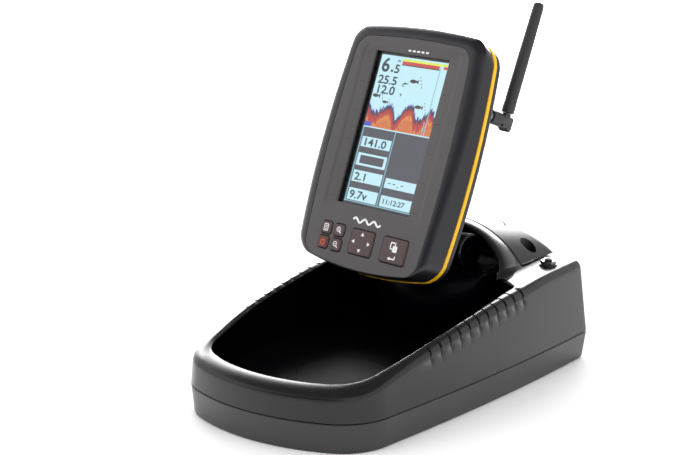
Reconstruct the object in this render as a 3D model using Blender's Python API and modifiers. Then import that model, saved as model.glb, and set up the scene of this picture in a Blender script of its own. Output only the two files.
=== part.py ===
"""Portable fish finder: a colour display handset on a pan and tilt turret, on a tray-shaped base.

Frame: +X right, +Y to the rear, +Z up, metres. The origin is the centre of the tray's underside.
Sizes below are in millimetres and are scaled by MM where a mesh is made.
"""
from math import atan2, cos, hypot, pi, radians, sin, sqrt

import bmesh
import bpy
from mathutils import Matrix, Vector

MM = 0.001
GAP = 0.3                      # clearance between touching pieces

# ---- base ----
BASE_HALF_LENGTH = 142.0
BASE_SIDE = (86.43, 0.0595, -0.0003)       # half width = a + b*y + c*y*y at the parting line
BASE_NOSE_RADIUS = 136.0
BASE_CORNER_RADIUS = 40.0
PARTING_Z = 20.1
TRAY_TAPER = 2.0               # how much narrower the tray is at its underside
DRAFT = 0.085                  # inward lean of the upper shell's walls, mm per mm
WALL = 2.6
RIM_PROFILE = ((-160.0, 40.5), (-142.0, 40.8), (-118.0, 41.8), (-103.0, 44.8), (-64.0, 53.1),
               (-22.0, 60.8), (25.0, 67.3), (60.0, 70.8), (95.0, 73.6), (160.0, 74.8))
RIM_WIDTH = 8.0
WELL_FLOOR_Z = 18.5
TUB_BOTTOM_Z = 15.9

# ---- barrel over the turret ----
BARREL_R = 70.8
BARREL_Z = 32.4                # height of the barrel's centre line
BARREL_INNER_R = 67.6
BARREL_GROOVE_Y = 97.0         # joint between the fixed front arch and the removable cover
COVER_REAR_R = 88.8            # the cover is lower and flatter at the rear
COVER_REAR_Z = 7.5
COVER_REAR_Y = 141.0
COVER_LEAN = 0.42              # the cover's rear face leans forward this much per mm above the deck
COVER_LEAN_Z = 75.0
COVER_HALF_WIDTH = 58.0
COVER_SKIN = 3.0
COVER_SCREW_X = 49.0
COVER_SCREW_Y = 120.0

# ---- turret ----
PAN_Y = 83.5
TURRET_R = 47.5
TURRET_CENTRE_Z = 50.0
TURRET_BOTTOM_Z = 22.5
TURRET_TOP_Z = 69.0
SOCKET_R = 49.4
TILT_Z = 84.0
DRUM_R = 10.5
CHEEK_INNER_X = 15.2
CHEEK_OUTER_X = 26.0
PAN_REST = radians(-9.5)
TILT_REST = radians(20.6)

# ---- handset, in its own frame: X right, Y up the face, Z out of the face ----
HANDSET_FORWARD = 86.0         # face plane ahead of the tilt axis
HANDSET_UP = 65.5              # display centre above the tilt axis
CREASE_Z = -4.3                # crease where the side wall meets the soft front edge
CREASE_TURN = radians(55.0)
CREASE_INSETS = (2.4, 0.3, 0.3)        # side, top and foot
FACE_INSETS = (13.3, 6.8, 1.6)
CHAMFER_Z = -19.5              # the back shell narrows steadily behind this
CHAMFER_SLOPE = 0.964
BAND_Z = (-15.6, -12.4)        # the coloured seal between the two shells
BACK_Z = -38.0
SHELL_WALL = 2.6
PLATE_THICKNESS = 2.0
WINDOW = (70.6, 111.4)         # opening over the display
LCD_ACTIVE = (64.8, 108.0)
LCD_MODULE = (76.0, 120.0)
LCD_Z = -5.4
KEY_ROW_Y = -80.6
NAV_KEY = (22.0, 17.6)
MENU_KEY = (23.0, 17.6)
MENU_KEY_X = 31.6
SMALL_KEY = (9.8, 8.6)
SMALL_KEY_X = (-36.6, -23.6)
SMALL_KEY_Y = (-75.6, -86.2)
KEY_BOTTOM_Z = -4.0
KEY_TOP_Z = 0.9
ANTENNA_X = 47.5
ANTENNA_Y = 27.8
ANTENNA_TURN = radians(-2.1)
SLEEVE_Z = (-55.8, -42.4)
HINGE_Z = -60.0
WHIP_R = 4.5
WHIP_TIP_R = 3.9
WHIP_TIP_Y = 115.0


# ---------------------------------------------------------------- helpers

def clear_scene():
    for ob in list(bpy.data.objects):
        bpy.data.objects.remove(ob, do_unlink=True)


def make_collection(name):
    col = bpy.data.collections.new(name)
    bpy.context.scene.collection.children.link(col)
    return col


clear_scene()
PARTS = make_collection("fish_finder")
CUTTERS = make_collection("cutters")


def material(name, colour, roughness, metallic=0.0):
    mat = bpy.data.materials.get(name)
    if mat is None:
        mat = bpy.data.materials.new(name)
        mat.use_nodes = True
        shader = mat.node_tree.nodes["Principled BSDF"]
        shader.inputs["Base Color"].default_value = (*colour, 1.0)
        shader.inputs["Roughness"].default_value = roughness
        shader.inputs["Metallic"].default_value = metallic
    return mat


BLACK = ("base_plastic", (0.025, 0.025, 0.028), 0.38, 0.0)
GREY = ("handset_plastic", (0.09, 0.085, 0.085), 0.45, 0.0)
GLOSS = ("handset_gloss", (0.02, 0.02, 0.025), 0.15, 0.0)
YELLOW = ("seal_yellow", (0.95, 0.60, 0.02), 0.5, 0.0)
RUBBER = ("rubber", (0.02, 0.02, 0.02), 0.8, 0.0)
KEY = ("key_rubber", (0.06, 0.045, 0.045), 0.6, 0.0)
STEEL = ("steel", (0.6, 0.6, 0.62), 0.3, 1.0)
BOARD = ("circuit_board", (0.02, 0.12, 0.05), 0.5, 0.0)
CLEAR = ("clear_window", (0.8, 0.85, 0.85), 0.05, 0.0)
SCREEN = ("lcd", (0.35, 0.55, 0.6), 0.3, 0.0)
NYLON = ("nylon", (0.75, 0.74, 0.7), 0.5, 0.0)
CELL = ("battery_wrap", (0.05, 0.12, 0.3), 0.4, 0.0)


def add_object(name, mesh, look=None, parent=None):
    """A new object: a part if it has a look, else a cutter."""
    ob = bpy.data.objects.new(name, mesh)
    if look:
        PARTS.objects.link(ob)
        mesh.materials.append(material(*look))
        mesh.shade_smooth()
        mesh.set_sharp_from_angle(angle=radians(32))
    else:
        CUTTERS.objects.link(ob)
        ob.display_type = 'WIRE'
        ob.hide_render = True
    if parent:
        ob.parent = parent
    return ob


def mesh_from(bm, name):
    bmesh.ops.recalc_face_normals(bm, faces=bm.faces)
    mesh = bpy.data.meshes.new(name)
    bm.to_mesh(mesh)
    bm.free()
    return mesh


def loft(name, low, high, look=None, parent=None):
    """A closed solid between two flat rings of (x, y, z) with equal point counts."""
    bm = bmesh.new()
    face = bm.faces.new([bm.verts.new(Vector(p) * MM) for p in low])
    made = bmesh.ops.extrude_face_region(bm, geom=[face])
    for vert in [g for g in made["geom"] if isinstance(g, bmesh.types.BMVert)]:
        vert.co = matching(vert.co, low, high)
    sides = [f for f in bm.faces if len(f.verts) == 4]
    bmesh.ops.triangulate(bm, faces=sides)
    return add_object(name, mesh_from(bm, name), look, parent)


def matching(co, low, high):
    """The point of the high ring that belongs to the low ring's point at co."""
    best = min(range(len(low)), key=lambda i: (Vector(low[i]) * MM - co).length_squared)
    return Vector(high[best]) * MM


def prism(name, points, z0, z1, look=None, parent=None):
    low = [(x, y, z0) for x, y in points]
    high = [(x, y, z1) for x, y in points]
    return loft(name, low, high, look, parent)


def box(name, lo, hi, look=None, parent=None):
    bm = bmesh.new()
    bmesh.ops.create_cube(bm, size=1.0)
    centre = [(a + b) / 2 * MM for a, b in zip(lo, hi)]
    size = [(b - a) * MM for a, b in zip(lo, hi)]
    bmesh.ops.scale(bm, vec=size, verts=bm.verts)
    bmesh.ops.translate(bm, vec=centre, verts=bm.verts)
    return add_object(name, mesh_from(bm, name), look, parent)


def rod(name, radius, start, end, look=None, parent=None, segments=32, end_radius=None):
    """A cylinder or cone from start to end."""
    a, b = Vector(start) * MM, Vector(end) * MM
    bm = bmesh.new()
    bmesh.ops.create_cone(bm, cap_ends=True, segments=segments, radius1=radius * MM,
                          radius2=(radius if end_radius is None else end_radius) * MM,
                          depth=(b - a).length)
    turn = Vector((0, 0, 1)).rotation_difference(b - a).to_matrix().to_4x4()
    bmesh.ops.transform(bm, matrix=Matrix.Translation((a + b) / 2) @ turn, verts=bm.verts)
    return add_object(name, mesh_from(bm, name), look, parent)


def turned(name, profile, centre, look=None, parent=None, steps=40, axis='Z'):
    """A solid turned about an axis through centre. The profile runs from top to bottom."""
    mesh = bpy.data.meshes.new(name)
    verts = [(r * MM, 0.0, z * MM) for r, z in profile]
    mesh.from_pydata(verts, [(i, i + 1) for i in range(len(verts) - 1)], [])
    ob = add_object(name, mesh, look, parent)
    screw = ob.modifiers.new("Screw", 'SCREW')
    screw.steps = steps
    screw.render_steps = steps
    screw.use_merge_vertices = True
    screw.merge_threshold = 0.00001
    ob.location = Vector(centre) * MM
    if axis == 'X':
        ob.rotation_euler = (0.0, pi / 2, 0.0)
    return ob


def cut(target, *cutters):
    for cutter in cutters:
        mod = target.modifiers.new("cut_" + cutter.name, 'BOOLEAN')
        mod.operation = 'DIFFERENCE'
        mod.solver = 'EXACT'
        mod.object = cutter


def fuse(target, *others):
    for other in others:
        mod = target.modifiers.new("fuse_" + other.name, 'BOOLEAN')
        mod.operation = 'UNION'
        mod.solver = 'EXACT'
        mod.object = other


def arc(cx, cy, radius, start, end, steps):
    """Points on an arc, angles in degrees."""
    points = []
    for i in range(steps + 1):
        angle = radians(start + (end - start) * i / steps)
        points.append((cx + radius * cos(angle), cy + radius * sin(angle)))
    return points


def mirrored(half):
    """A closed outline from its right half, listed from rear centre to front centre."""
    return half + [(-x, y) for x, y in reversed(half) if abs(x) > 1e-6]


def empty(name, location, rotation=(0, 0, 0), parent=None):
    ob = bpy.data.objects.new(name, None)
    PARTS.objects.link(ob)
    ob.empty_display_size = 0.02
    ob.location = Vector(location) * MM
    ob.rotation_euler = rotation
    ob.parent = parent
    return ob


# ---------------------------------------------------------------- base outlines

def side_half_width(y):
    a, b, c = BASE_SIDE
    return a + b * y + c * y * y


def base_outline(inset=0.0, corner_extra=0.0):
    """The base's plan, moved inwards by inset; corner_extra rounds the front corners more."""
    rear = BASE_HALF_LENGTH - inset
    corner = BASE_CORNER_RADIUS + corner_extra
    corner_y = -BASE_HALF_LENGTH + BASE_CORNER_RADIUS + 8.6
    corner_x = side_half_width(corner_y) - corner
    nose_y = -BASE_HALF_LENGTH + BASE_NOSE_RADIUS
    swing = atan2(corner_x, nose_y - corner_y + sqrt(max((BASE_NOSE_RADIUS - corner) ** 2
                                                         - corner_x ** 2, 0.0)) - (nose_y - corner_y))
    centre_y = nose_y - (BASE_NOSE_RADIUS - corner) * cos(swing)
    half = [(0.0, rear), (side_half_width(rear) - inset - 3.0, rear)]
    half += arc(side_half_width(rear) - inset - 3.0, rear - 3.0, 3.0, 60, 0, 2)
    for y in (100.0, 60.0, 20.0, -20.0, -55.0):
        half.append((side_half_width(y) - inset, y))
    half += arc(corner_x, centre_y, corner - inset, -3, -90 + swing * 180 / pi, 8)
    for i in (1, 2):
        angle = swing * (1 - i / 3)
        reach = BASE_NOSE_RADIUS - inset
        half.append((reach * sin(angle), nose_y - reach * cos(angle)))
    half.append((0.0, -BASE_HALF_LENGTH + inset))
    return mirrored(half)


def well_outline(offset=0.0):
    """The open tray's plan: the rim inside in front, a rounded bay towards the turret behind."""
    inner = RIM_WIDTH - offset
    front = [p for p in base_outline(inner + 3.0, 4.0) if p[0] >= 0 and p[1] < 30.0]
    bay = [(0.0, 86.0 + offset)]
    bay += arc(30.0, 58.0, 28.0 + offset, 90, 18, 6)
    bay.append((75.5 + offset, 57.5 + offset))
    return mirrored(bay + front)


def roof(name, lower=0.0):
    """Everything above the rim's side profile, as a cutter."""
    low, high = [], []
    outline = [(y, z - lower) for y, z in RIM_PROFILE] + [(160.0, 200.0), (-160.0, 200.0)]
    for y, z in outline:
        low.append((-100.0, y, z))
        high.append((100.0, y, z))
    return loft(name, low, high)


def base_slab(name, z0, z1, inset0, inset1):
    low = [(x, y, z0) for x, y in base_outline(inset0)]
    high = [(x, y, z1) for x, y in base_outline(inset1)]
    return loft(name, low, high)


# ---------------------------------------------------------------- base pieces

def lower_tray():
    low = [(x, y, 0.0) for x, y in base_outline(TRAY_TAPER)]
    high = [(x, y, PARTING_Z - GAP) for x, y in base_outline()]
    tray = loft("base_lower_tray", low, high, BLACK)
    low = [(x, y, WALL) for x, y in base_outline(TRAY_TAPER + WALL)]
    high = [(x, y, PARTING_Z + 5.0) for x, y in base_outline(WALL)]
    cut(tray, loft("tray_hollow", low, high))
    for i, (x, y) in enumerate(TRAY_SCREWS, 1):
        top = 18.8 if y > 0 else TUB_BOTTOM_Z - 0.5
        post = rod(f"tray_post_{i}", 5.0, (x, y, 1.0), (x, y, top), segments=20)
        bore = rod(f"tray_bore_{i}", 1.8, (x, y, -1.0), (x, y, PARTING_Z + 6.0), segments=16)
        recess = rod(f"tray_recess_{i}", 3.6, (x, y, -1.0), (x, y, 8.0), segments=20)
        fuse(tray, post)
        cut(tray, bore, recess)
    for i, (x, y) in enumerate(FEET, 1):
        cut(tray, rod(f"foot_pocket_{i}", FOOT_POCKET_R, (x, y, -1.0), (x, y, 1.4), segments=24))
    return tray


JACK_PLACE = (71.3, 111.2)
DISC_PLACE = (0.0, -42.0)
TRAY_SCREWS = ((80.6, 126.0), (-80.6, 126.0), (73.9, -60.0), (-73.9, -60.0))
FEET = ((66.0, 112.0), (-66.0, 112.0), (50.0, -100.0), (-50.0, -100.0))
FOOT_POCKET_R = 7.5            # the rubber pads lie in pockets, level with the underside


def upper_shell():
    top_z = 80.0
    lean = DRAFT * (top_z - PARTING_Z)
    shell = base_slab("shell_block", PARTING_Z, top_z, 0.0, lean)
    hollow = base_slab("shell_hollow", PARTING_Z - 6.0, top_z + 0.1, WALL, WALL + lean)
    cut(hollow, roof("hollow_roof", WALL))
    cut(shell, hollow)
    tub = prism("tub_block", well_outline(WALL), TUB_BOTTOM_Z, top_z - 1.0)
    ring = rod("socket_block", SOCKET_R + WALL, (0, PAN_Y, TUB_BOTTOM_Z), (0, PAN_Y, top_z - 2.0), segments=48)
    fuse(shell, tub, ring)
    for side, x in (("right", COVER_SCREW_X), ("left", -COVER_SCREW_X)):
        fuse(shell, rod(f"cover_boss_{side}", 4.2, (x, COVER_SCREW_Y, 60), (x, COVER_SCREW_Y, 72), segments=20))
    for i, (x, y) in enumerate(TRAY_SCREWS, 1):
        bottom, top = (19.1, 72.0) if y > 0 else (TUB_BOTTOM_Z - 0.2, 45.0)
        fuse(shell, rod(f"shell_boss_{i}", 4.2, (x, y, bottom), (x, y, top), segments=20))
    cut(shell, roof("shell_roof"))
    arch = rod("arch_block", BARREL_R, (0, 50.0, BARREL_Z), (0, BARREL_GROOVE_Y, BARREL_Z), segments=72)
    cut(arch, box("arch_trim", (-90, 40, -60), (90, 110, 66.0)))
    fuse(shell, arch)
    arch_hollow = rod("arch_hollow", BARREL_INNER_R, (0, 45.0, BARREL_Z), (0, 150.0, BARREL_Z), segments=72)
    cut(arch_hollow, box("arch_floor", (-90, 40, -60), (90, 155, 75.3)))
    well = prism("well", well_outline(), WELL_FLOOR_Z, 140.0)
    socket = rod("socket", SOCKET_R, (0, PAN_Y, WELL_FLOOR_Z + 0.05), (0, PAN_Y, 76.0), segments=48)
    cut(shell, arch_hollow, well, socket)
    cut(shell, rod("pivot_hole", 3.3, (0, PAN_Y, 0), (0, PAN_Y, 30), segments=20))
    cut(shell, rod("jack_hole", 3.5, (*JACK_PLACE, 60), (*JACK_PLACE, 80), segments=20))
    cut(shell, rod("disc_hole", 14.0, (*DISC_PLACE, 0), (*DISC_PLACE, 30), segments=36))
    for side, x in (("right", COVER_SCREW_X), ("left", -COVER_SCREW_X)):
        cut(shell, rod(f"cover_bore_{side}", 1.8, (x, COVER_SCREW_Y, 50), (x, COVER_SCREW_Y, 90), segments=16))
    for i, (x, y) in enumerate(TRAY_SCREWS, 1):
        cut(shell, rod(f"shell_bore_{i}", 1.8, (x, y, 0.0), (x, y, 32.0), segments=16))
    return shell


def bake(ob, name, look, parent=None):
    """The finished shape of a worked block, as a part of its own."""
    bpy.context.view_layer.update()
    mesh = bpy.data.meshes.new_from_object(ob.evaluated_get(bpy.context.evaluated_depsgraph_get()))
    bm = bmesh.new()
    bm.from_mesh(mesh)
    bmesh.ops.remove_doubles(bm, verts=bm.verts, dist=0.00001)
    bmesh.ops.dissolve_degenerate(bm, dist=0.00001, edges=bm.edges)
    bm.to_mesh(mesh)
    bm.free()
    mesh.materials.clear()
    return add_object(name, mesh, look, parent)


def cover_ring(y, radius, centre_z, skin=0.0, floor_z=0.0, lean=0.0):
    """The cover's cross-section at y, as a closed ring of points; lean tips its top forward."""
    radius -= skin
    half_width = COVER_HALF_WIDTH - skin
    edge = atan2(sqrt(radius ** 2 - half_width ** 2), half_width) * 180 / pi
    ring = [(half_width, y, floor_z)]
    ring += [(x, y, z) for x, z in arc(0.0, centre_z, radius, edge, 180 - edge, 24)]
    ring.append((-half_width, y, floor_z))
    return [(x, y - lean * (z - COVER_LEAN_Z), z) for x, y, z in ring]


def vault_cover():
    front_y = BARREL_GROOVE_Y + GAP + 0.3
    cover = loft("vault_cover", cover_ring(front_y, BARREL_R, BARREL_Z, 0.0, 60.0),
                 cover_ring(COVER_REAR_Y, COVER_REAR_R, COVER_REAR_Z, 0.0, 60.0, COVER_LEAN), BLACK)
    inner = loft("cover_hollow", cover_ring(front_y - 5.0, BARREL_R, BARREL_Z, COVER_SKIN, 55.0),
                 cover_ring(COVER_REAR_Y - COVER_SKIN, COVER_REAR_R, COVER_REAR_Z, COVER_SKIN, 55.0, COVER_LEAN))
    deck = [(y, z + 0.6) for y, z in RIM_PROFILE] + [(160.0, 20.0), (-160.0, 20.0)]
    below = loft("cover_below", [(-90.0, y, z) for y, z in deck], [(90.0, y, z) for y, z in deck])
    cut(cover, inner)
    for side, x in (("right", COVER_SCREW_X), ("left", -COVER_SCREW_X)):
        post = rod(f"cover_post_{side}", 7.0, (x, COVER_SCREW_Y, 70), (x, COVER_SCREW_Y, 79), segments=24)
        fuse(cover, post)
    for side, x in (("right", COVER_SCREW_X), ("left", -COVER_SCREW_X)):
        well = rod(f"cover_well_{side}", 5.8, (x, COVER_SCREW_Y, 76.3), (x, COVER_SCREW_Y, 100), segments=24)
        hole = rod(f"cover_hole_{side}", 2.2, (x, COVER_SCREW_Y, 60), (x, COVER_SCREW_Y, 100), segments=16)
        cut(cover, well, hole)
    cut(cover, below)
    return cover


def pan_screw(name, x, y, head_z, tip_z, head_r, head_h, shank_r, parent=None, flip=False):
    """A pan-head screw with a cross recess left out; flip puts the head below."""
    sign = -1.0 if flip else 1.0
    profile = [(0.0, head_z + sign * head_h), (head_r * 0.7, head_z + sign * head_h),
               (head_r, head_z + sign * head_h * 0.4), (head_r, head_z), (shank_r, head_z),
               (shank_r, tip_z + sign * 1.0), (0.0, tip_z)]
    if flip:
        profile.reverse()
    return turned(name, profile, (x, y, 0.0), STEEL, parent, steps=14)


def base_fasteners():
    for i, (x, y) in enumerate(TRAY_SCREWS, 1):
        pan_screw(f"tray_screw_{i}", x, y, 7.6, 30.0, 3.2, 2.0, 1.5, flip=True)
    for side, x in (("right", COVER_SCREW_X), ("left", -COVER_SCREW_X)):
        pan_screw(f"vault_screw_{side}", x, COVER_SCREW_Y, 76.6, 62.0, 3.9, 2.4, 1.5)
    for i, (x, y) in enumerate(FEET, 1):
        turned(f"foot_{i}", [(0.0, 1.1), (6.7, 1.1), (7.0, 0.8), (7.0, 0.0), (0.0, 0.0)],
               (x, y, 0.0), RUBBER, steps=20)


def base_contents():
    """Battery, power board, through-deck connector, disc on the well's floor, pivot screw."""
    box("battery_pack", (-75.0, 96.0, 3.2), (-54.0, 134.0, 58.0), CELL)
    box("power_board", (55.0, 96.0, 22.0), (56.6, 134.0, 60.0), BOARD)
    x, y = JACK_PLACE
    turned("deck_jack_body", [(0.0, 79.0), (2.9, 79.0), (3.1, 78.7), (3.1, 70.4), (5.2, 70.4),
                              (5.2, 66.0), (0.0, 66.0)], (x, y, 0.0), STEEL, steps=20)
    nut = rod("deck_jack_nut", 5.9, (x, y, 74.7), (x, y, 77.4), STEEL, segments=6)
    cut(nut, rod("nut_bore", 3.4, (x, y, 70), (x, y, 85), segments=20))
    turned("well_disc", [(0.0, 20.4), (31.5, 20.4), (33.0, 19.6), (35.0, 19.6), (36.5, 18.8), (13.6, 18.8),
                         (13.6, 16.5), (0.0, 16.5)], (*DISC_PLACE, 0.0), BLACK, steps=48)
    turned("turret_washer", [(3.6, 22.2), (16.0, 22.2), (16.0, 18.85), (3.6, 18.85), (3.6, 22.2)],
           (0.0, PAN_Y, 0.0), NYLON, steps=28)
    turned("turret_pivot_screw", [(0.0, 36.0), (2.8, 36.0), (3.0, 35.6), (3.0, 15.6), (5.5, 15.6), (5.5, 13.4),
                                  (0.0, 13.4)], (0.0, PAN_Y, 0.0), STEEL, steps=20)


# ---------------------------------------------------------------- turret and neck

def turret(parent):
    """A ball with its ends cut off, and two cheeks that hold the tilt drum."""
    start = sqrt(TURRET_R ** 2 - (TURRET_TOP_Z - TURRET_CENTRE_Z) ** 2)
    top_angle = atan2(TURRET_TOP_Z - TURRET_CENTRE_Z, start)
    low_angle = -pi / 2 + atan2(sqrt(TURRET_R ** 2 - (TURRET_CENTRE_Z - TURRET_BOTTOM_Z) ** 2),
                                TURRET_CENTRE_Z - TURRET_BOTTOM_Z)
    profile = [(0.0, TURRET_TOP_Z)]
    for i in range(11):
        angle = top_angle + (low_angle - top_angle) * i / 10
        profile.append((TURRET_R * cos(angle), TURRET_CENTRE_Z + TURRET_R * sin(angle)))
    profile.append((0.0, TURRET_BOTTOM_Z))
    ball = turned("turret", profile, (0, 0, 0), BLACK, parent, steps=40)
    for side in (-1, 1):
        x0, x1 = sorted((side * CHEEK_INNER_X, side * CHEEK_OUTER_X))
        tag = "right" if side > 0 else "left"
        web = box(f"cheek_web_{tag}", (x0, 0.6 - DRUM_R, 60.0), (x1, DRUM_R - 0.6, TILT_Z - 1.0), parent=parent)
        top = rod(f"cheek_top_{tag}", DRUM_R, (x0, 0, TILT_Z), (x1, 0, TILT_Z), parent=parent, segments=36)
        fuse(ball, web, top)
    cut(ball, rod("tilt_bore", 3.3, (-30, 0, TILT_Z), (30, 0, TILT_Z), parent=parent, segments=20))
    cut(ball, rod("pivot_bore", 3.4, (0, 0, 15), (0, 0, 38), parent=parent, segments=20))
    cut(ball, rod("drum_relief", DRUM_R + 0.8, (-CHEEK_INNER_X, 0, TILT_Z), (CHEEK_INNER_X, 0, TILT_Z),
                  parent=parent, segments=36))
    rod("tilt_pin", 3.0, (-24.6, 0, TILT_Z), (24.6, 0, TILT_Z), STEEL, parent, segments=20)
    for side, x in (("left", -14.75), ("right", 14.75)):
        washer = rod(f"tilt_washer_{side}", 8.0, (x - 0.45, 0, TILT_Z), (x + 0.45, 0, TILT_Z), NYLON, parent,
                     segments=24)
        cut(washer, rod(f"washer_bore_{side}", 3.4, (-20, 0, TILT_Z), (20, 0, TILT_Z), parent=parent,
                        segments=16))


def neck(parent):
    """The tilt drum and the arm from it to the handset's back; parent is the tilt axis."""
    flange_y = -(HANDSET_FORWARD + BACK_Z) + GAP
    drum = rod("neck_arm", DRUM_R, (-14.0, 0, 0), (14.0, 0, 0), BLACK, parent, segments=36)
    arm = rod("arm_shaft", 10.0, (0, 0, 0), (0, flange_y + 6.0, 0), parent=parent, segments=32, end_radius=13.5)
    flange = rod("arm_flange", 21.0, (0, flange_y, 0), (0, flange_y + 6.2, 0), parent=parent, segments=36)
    fuse(drum, arm, flange)
    cut(drum, rod("drum_bore", 3.3, (-20, 0, 0), (20, 0, 0), parent=parent, segments=20))
    return drum


# ---------------------------------------------------------------- handset

def handset_outline(inset=0.0, top=None, foot=None):
    """The handset's front outline: gently bowed sides with four round corners.

    The inset moves it inwards; top and foot are the insets of its two ends where these differ.
    """
    top = inset if top is None else top
    foot = inset if foot is None else foot
    top_r, low_r = 14.0 - inset * 0.5, 15.0 - inset * 0.5
    half = []
    for x in (0.0, 0.31 * (71.3 - inset), 0.62 * (71.3 - inset)):
        half.append((x, 73.9 - top - 0.00075 * x * x))
    cx, cy = 67.3 - top_r - inset, 71.0 - top_r - top
    half += arc(cx, cy, top_r, 84, 4, 6)
    for y in (30.0, 0.0, -20.0, -50.0, -75.0):
        half.append((71.2 - inset - 0.0007 * (y + 20.0) ** 2, y))
    cx, cy = 68.7 - low_r - inset, -98.0 + low_r + foot
    half += arc(cx, cy, low_r, -3, -84, 6)
    for x in (0.56 * (71.3 - inset), 0.28 * (71.3 - inset), 0.0):
        half.append((x, -101.6 + foot + 0.0013 * x * x))
    return mirrored(half)


def rectangle(width, height, centre_y=0.0, centre_x=0.0, radius=2.0, steps=2):
    w, h = width / 2 - radius, height / 2 - radius
    points = []
    for cx, cy, start in ((w, h, 90), (w, -h, 0), (-w, -h, -90), (-w, h, -180)):
        points += arc(centre_x + cx, centre_y + cy, radius, start, start - 90, steps)
    return points


def key_places():
    """Name, size and centre of each key."""
    places = [("key_list", SMALL_KEY, SMALL_KEY_X[0], SMALL_KEY_Y[0]),
              ("key_zoom_in", SMALL_KEY, SMALL_KEY_X[1], SMALL_KEY_Y[0]),
              ("key_power", SMALL_KEY, SMALL_KEY_X[0], SMALL_KEY_Y[1]),
              ("key_zoom_out", SMALL_KEY, SMALL_KEY_X[1], SMALL_KEY_Y[1]),
              ("key_nav_pad", NAV_KEY, 0.0, KEY_ROW_Y),
              ("key_menu_rocker", MENU_KEY, MENU_KEY_X, KEY_ROW_Y)]
    return places


def key_cutter(target_name, grow, parent):
    """One cutter for each key opening, grown by a clearance."""
    made = []
    for name, size, x, y in key_places():
        outline = rectangle(size[0] + grow, size[1] + grow, y, x, 2.0)
        made.append(prism(f"{target_name}_{name}", outline, -12.0, 6.0, parent=parent))
    return made


def front_shell(parent):
    """The front housing: side wall up to a crease, a soft edge up to the face, a seat for the face plate,
    openings for window and keys."""
    rings = [[(x, y, BAND_Z[1] + GAP) for x, y in handset_outline()]]
    layers = 3
    for i in range(layers + 1):
        turn = CREASE_TURN * (1.0 - i / layers)
        share = 1.0 - sin(turn) / sin(CREASE_TURN)
        insets = [a + (b - a) * share for a, b in zip(CREASE_INSETS, FACE_INSETS)]
        z = CREASE_Z * (1.0 - cos(turn)) / (1.0 - cos(CREASE_TURN))
        rings.append([(x, y, z) for x, y in handset_outline(*insets)])
    shell = loft("front_shell", rings[0], rings[1], GREY, parent)
    for i, (low, high) in enumerate(zip(rings[1:], rings[2:])):
        fuse(shell, loft(f"front_step_{i}", low, high, parent=parent))
    hollow = prism("front_hollow", handset_outline(7.0), -20.0, -4.6, parent=parent)
    skirt = prism("front_skirt", handset_outline(SHELL_WALL + 0.4), -20.0, -10.0, parent=parent)
    seat = prism("plate_seat", plate_outline(GAP), -PLATE_THICKNESS - GAP, 5.0, parent=parent)
    window = prism("window_hole", rectangle(*WINDOW), -12.0, 6.0, parent=parent)
    lens_seat = prism("lens_seat", rectangle(WINDOW[0] + 4.8, WINDOW[1] + 4.8), -12.0, -2.5 - 0.2, parent=parent)
    cut(shell, hollow, skirt, seat, window, lens_seat, *key_cutter("shell", 0.8, parent))
    return shell


def plate_outline(grow=0.0):
    """The flat face plate: straight sides, a bowed foot and a rounded top."""
    w = 56.2 + grow
    half = [(0.0, 66.0 + grow), (24.0, 65.4 + grow)]
    half += arc(w - 12.0, 64.0 + grow - 12.0, 12.0, 84, 6, 4)
    half += [(w + 0.8, 0.0), (w, -86.0), (w - 2.5, -90.5 - grow), (w - 7.0, -93.2 - grow)]
    half += [(36.0, -95.2 - grow), (18.0, -97.0 - grow), (0.0, -97.5 - grow)]
    return mirrored(half)


def face_plate(parent):
    plate = prism("face_plate", plate_outline(), -PLATE_THICKNESS, 0.0, GREY, parent)
    cut(plate, prism("plate_window", rectangle(*WINDOW), -5.0, 5.0, parent=parent))
    cut(plate, *key_cutter("plate", 0.8, parent))
    return plate


def back_shell(parent):
    """The rear housing, narrowing to a flat back, with screw wells and the antenna's hole."""
    top = BAND_Z[0] - GAP
    shell = prism("back_shell", handset_outline(0.6), CHAMFER_Z, top, GREY, parent)
    rings = []
    for z in (CHAMFER_Z, BACK_Z + 1.5):
        rings.append([(x, y, z) for x, y in handset_outline(0.6 + CHAMFER_SLOPE * (CHAMFER_Z - z))])
    rings.append([(x, y, BACK_Z) for x, y in handset_outline(0.6 + CHAMFER_SLOPE * (CHAMFER_Z - BACK_Z) + 2.0)])
    for i, (low, high) in enumerate(zip(rings, rings[1:])):
        fuse(shell, loft(f"back_step_{i}", low, high, parent=parent))
    low = [(x, y, BACK_Z + SHELL_WALL) for x, y in handset_outline(19.0)]
    high = [(x, y, CHAMFER_Z + 0.6) for x, y in handset_outline(0.6 + SHELL_WALL + 0.2)]
    cut(shell, loft("back_hollow_deep", low, high, parent=parent))
    cut(shell, prism("back_hollow", handset_outline(0.6 + SHELL_WALL + 0.2), CHAMFER_Z + 0.4, 0.0, parent=parent))
    cut(shell, rod("antenna_hole", 4.1, (ANTENNA_X, ANTENNA_Y, -45), (ANTENNA_X, ANTENNA_Y, -20),
                   parent=parent, segments=20))
    for i, (x, y) in enumerate(HANDSET_SCREWS, 1):
        post = rod(f"back_post_{i}", 4.4, (x, y, BACK_Z + 4.6), (x, y, top - 1.0), parent=parent, segments=20)
        fuse(shell, post)
    for i, (x, y) in enumerate(HANDSET_SCREWS, 1):
        recess = rod(f"back_recess_{i}", 3.2, (x, y, BACK_Z - 2), (x, y, BACK_Z + 7), parent=parent, segments=20)
        bore = rod(f"back_bore_{i}", 1.7, (x, y, BACK_Z - 2), (x, y, 0), parent=parent, segments=16)
        cut(shell, recess, bore)
    return shell


HANDSET_SCREWS = ((50.0, 50.0), (-50.0, 50.0), (50.0, -78.0), (-50.0, -78.0))


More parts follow.
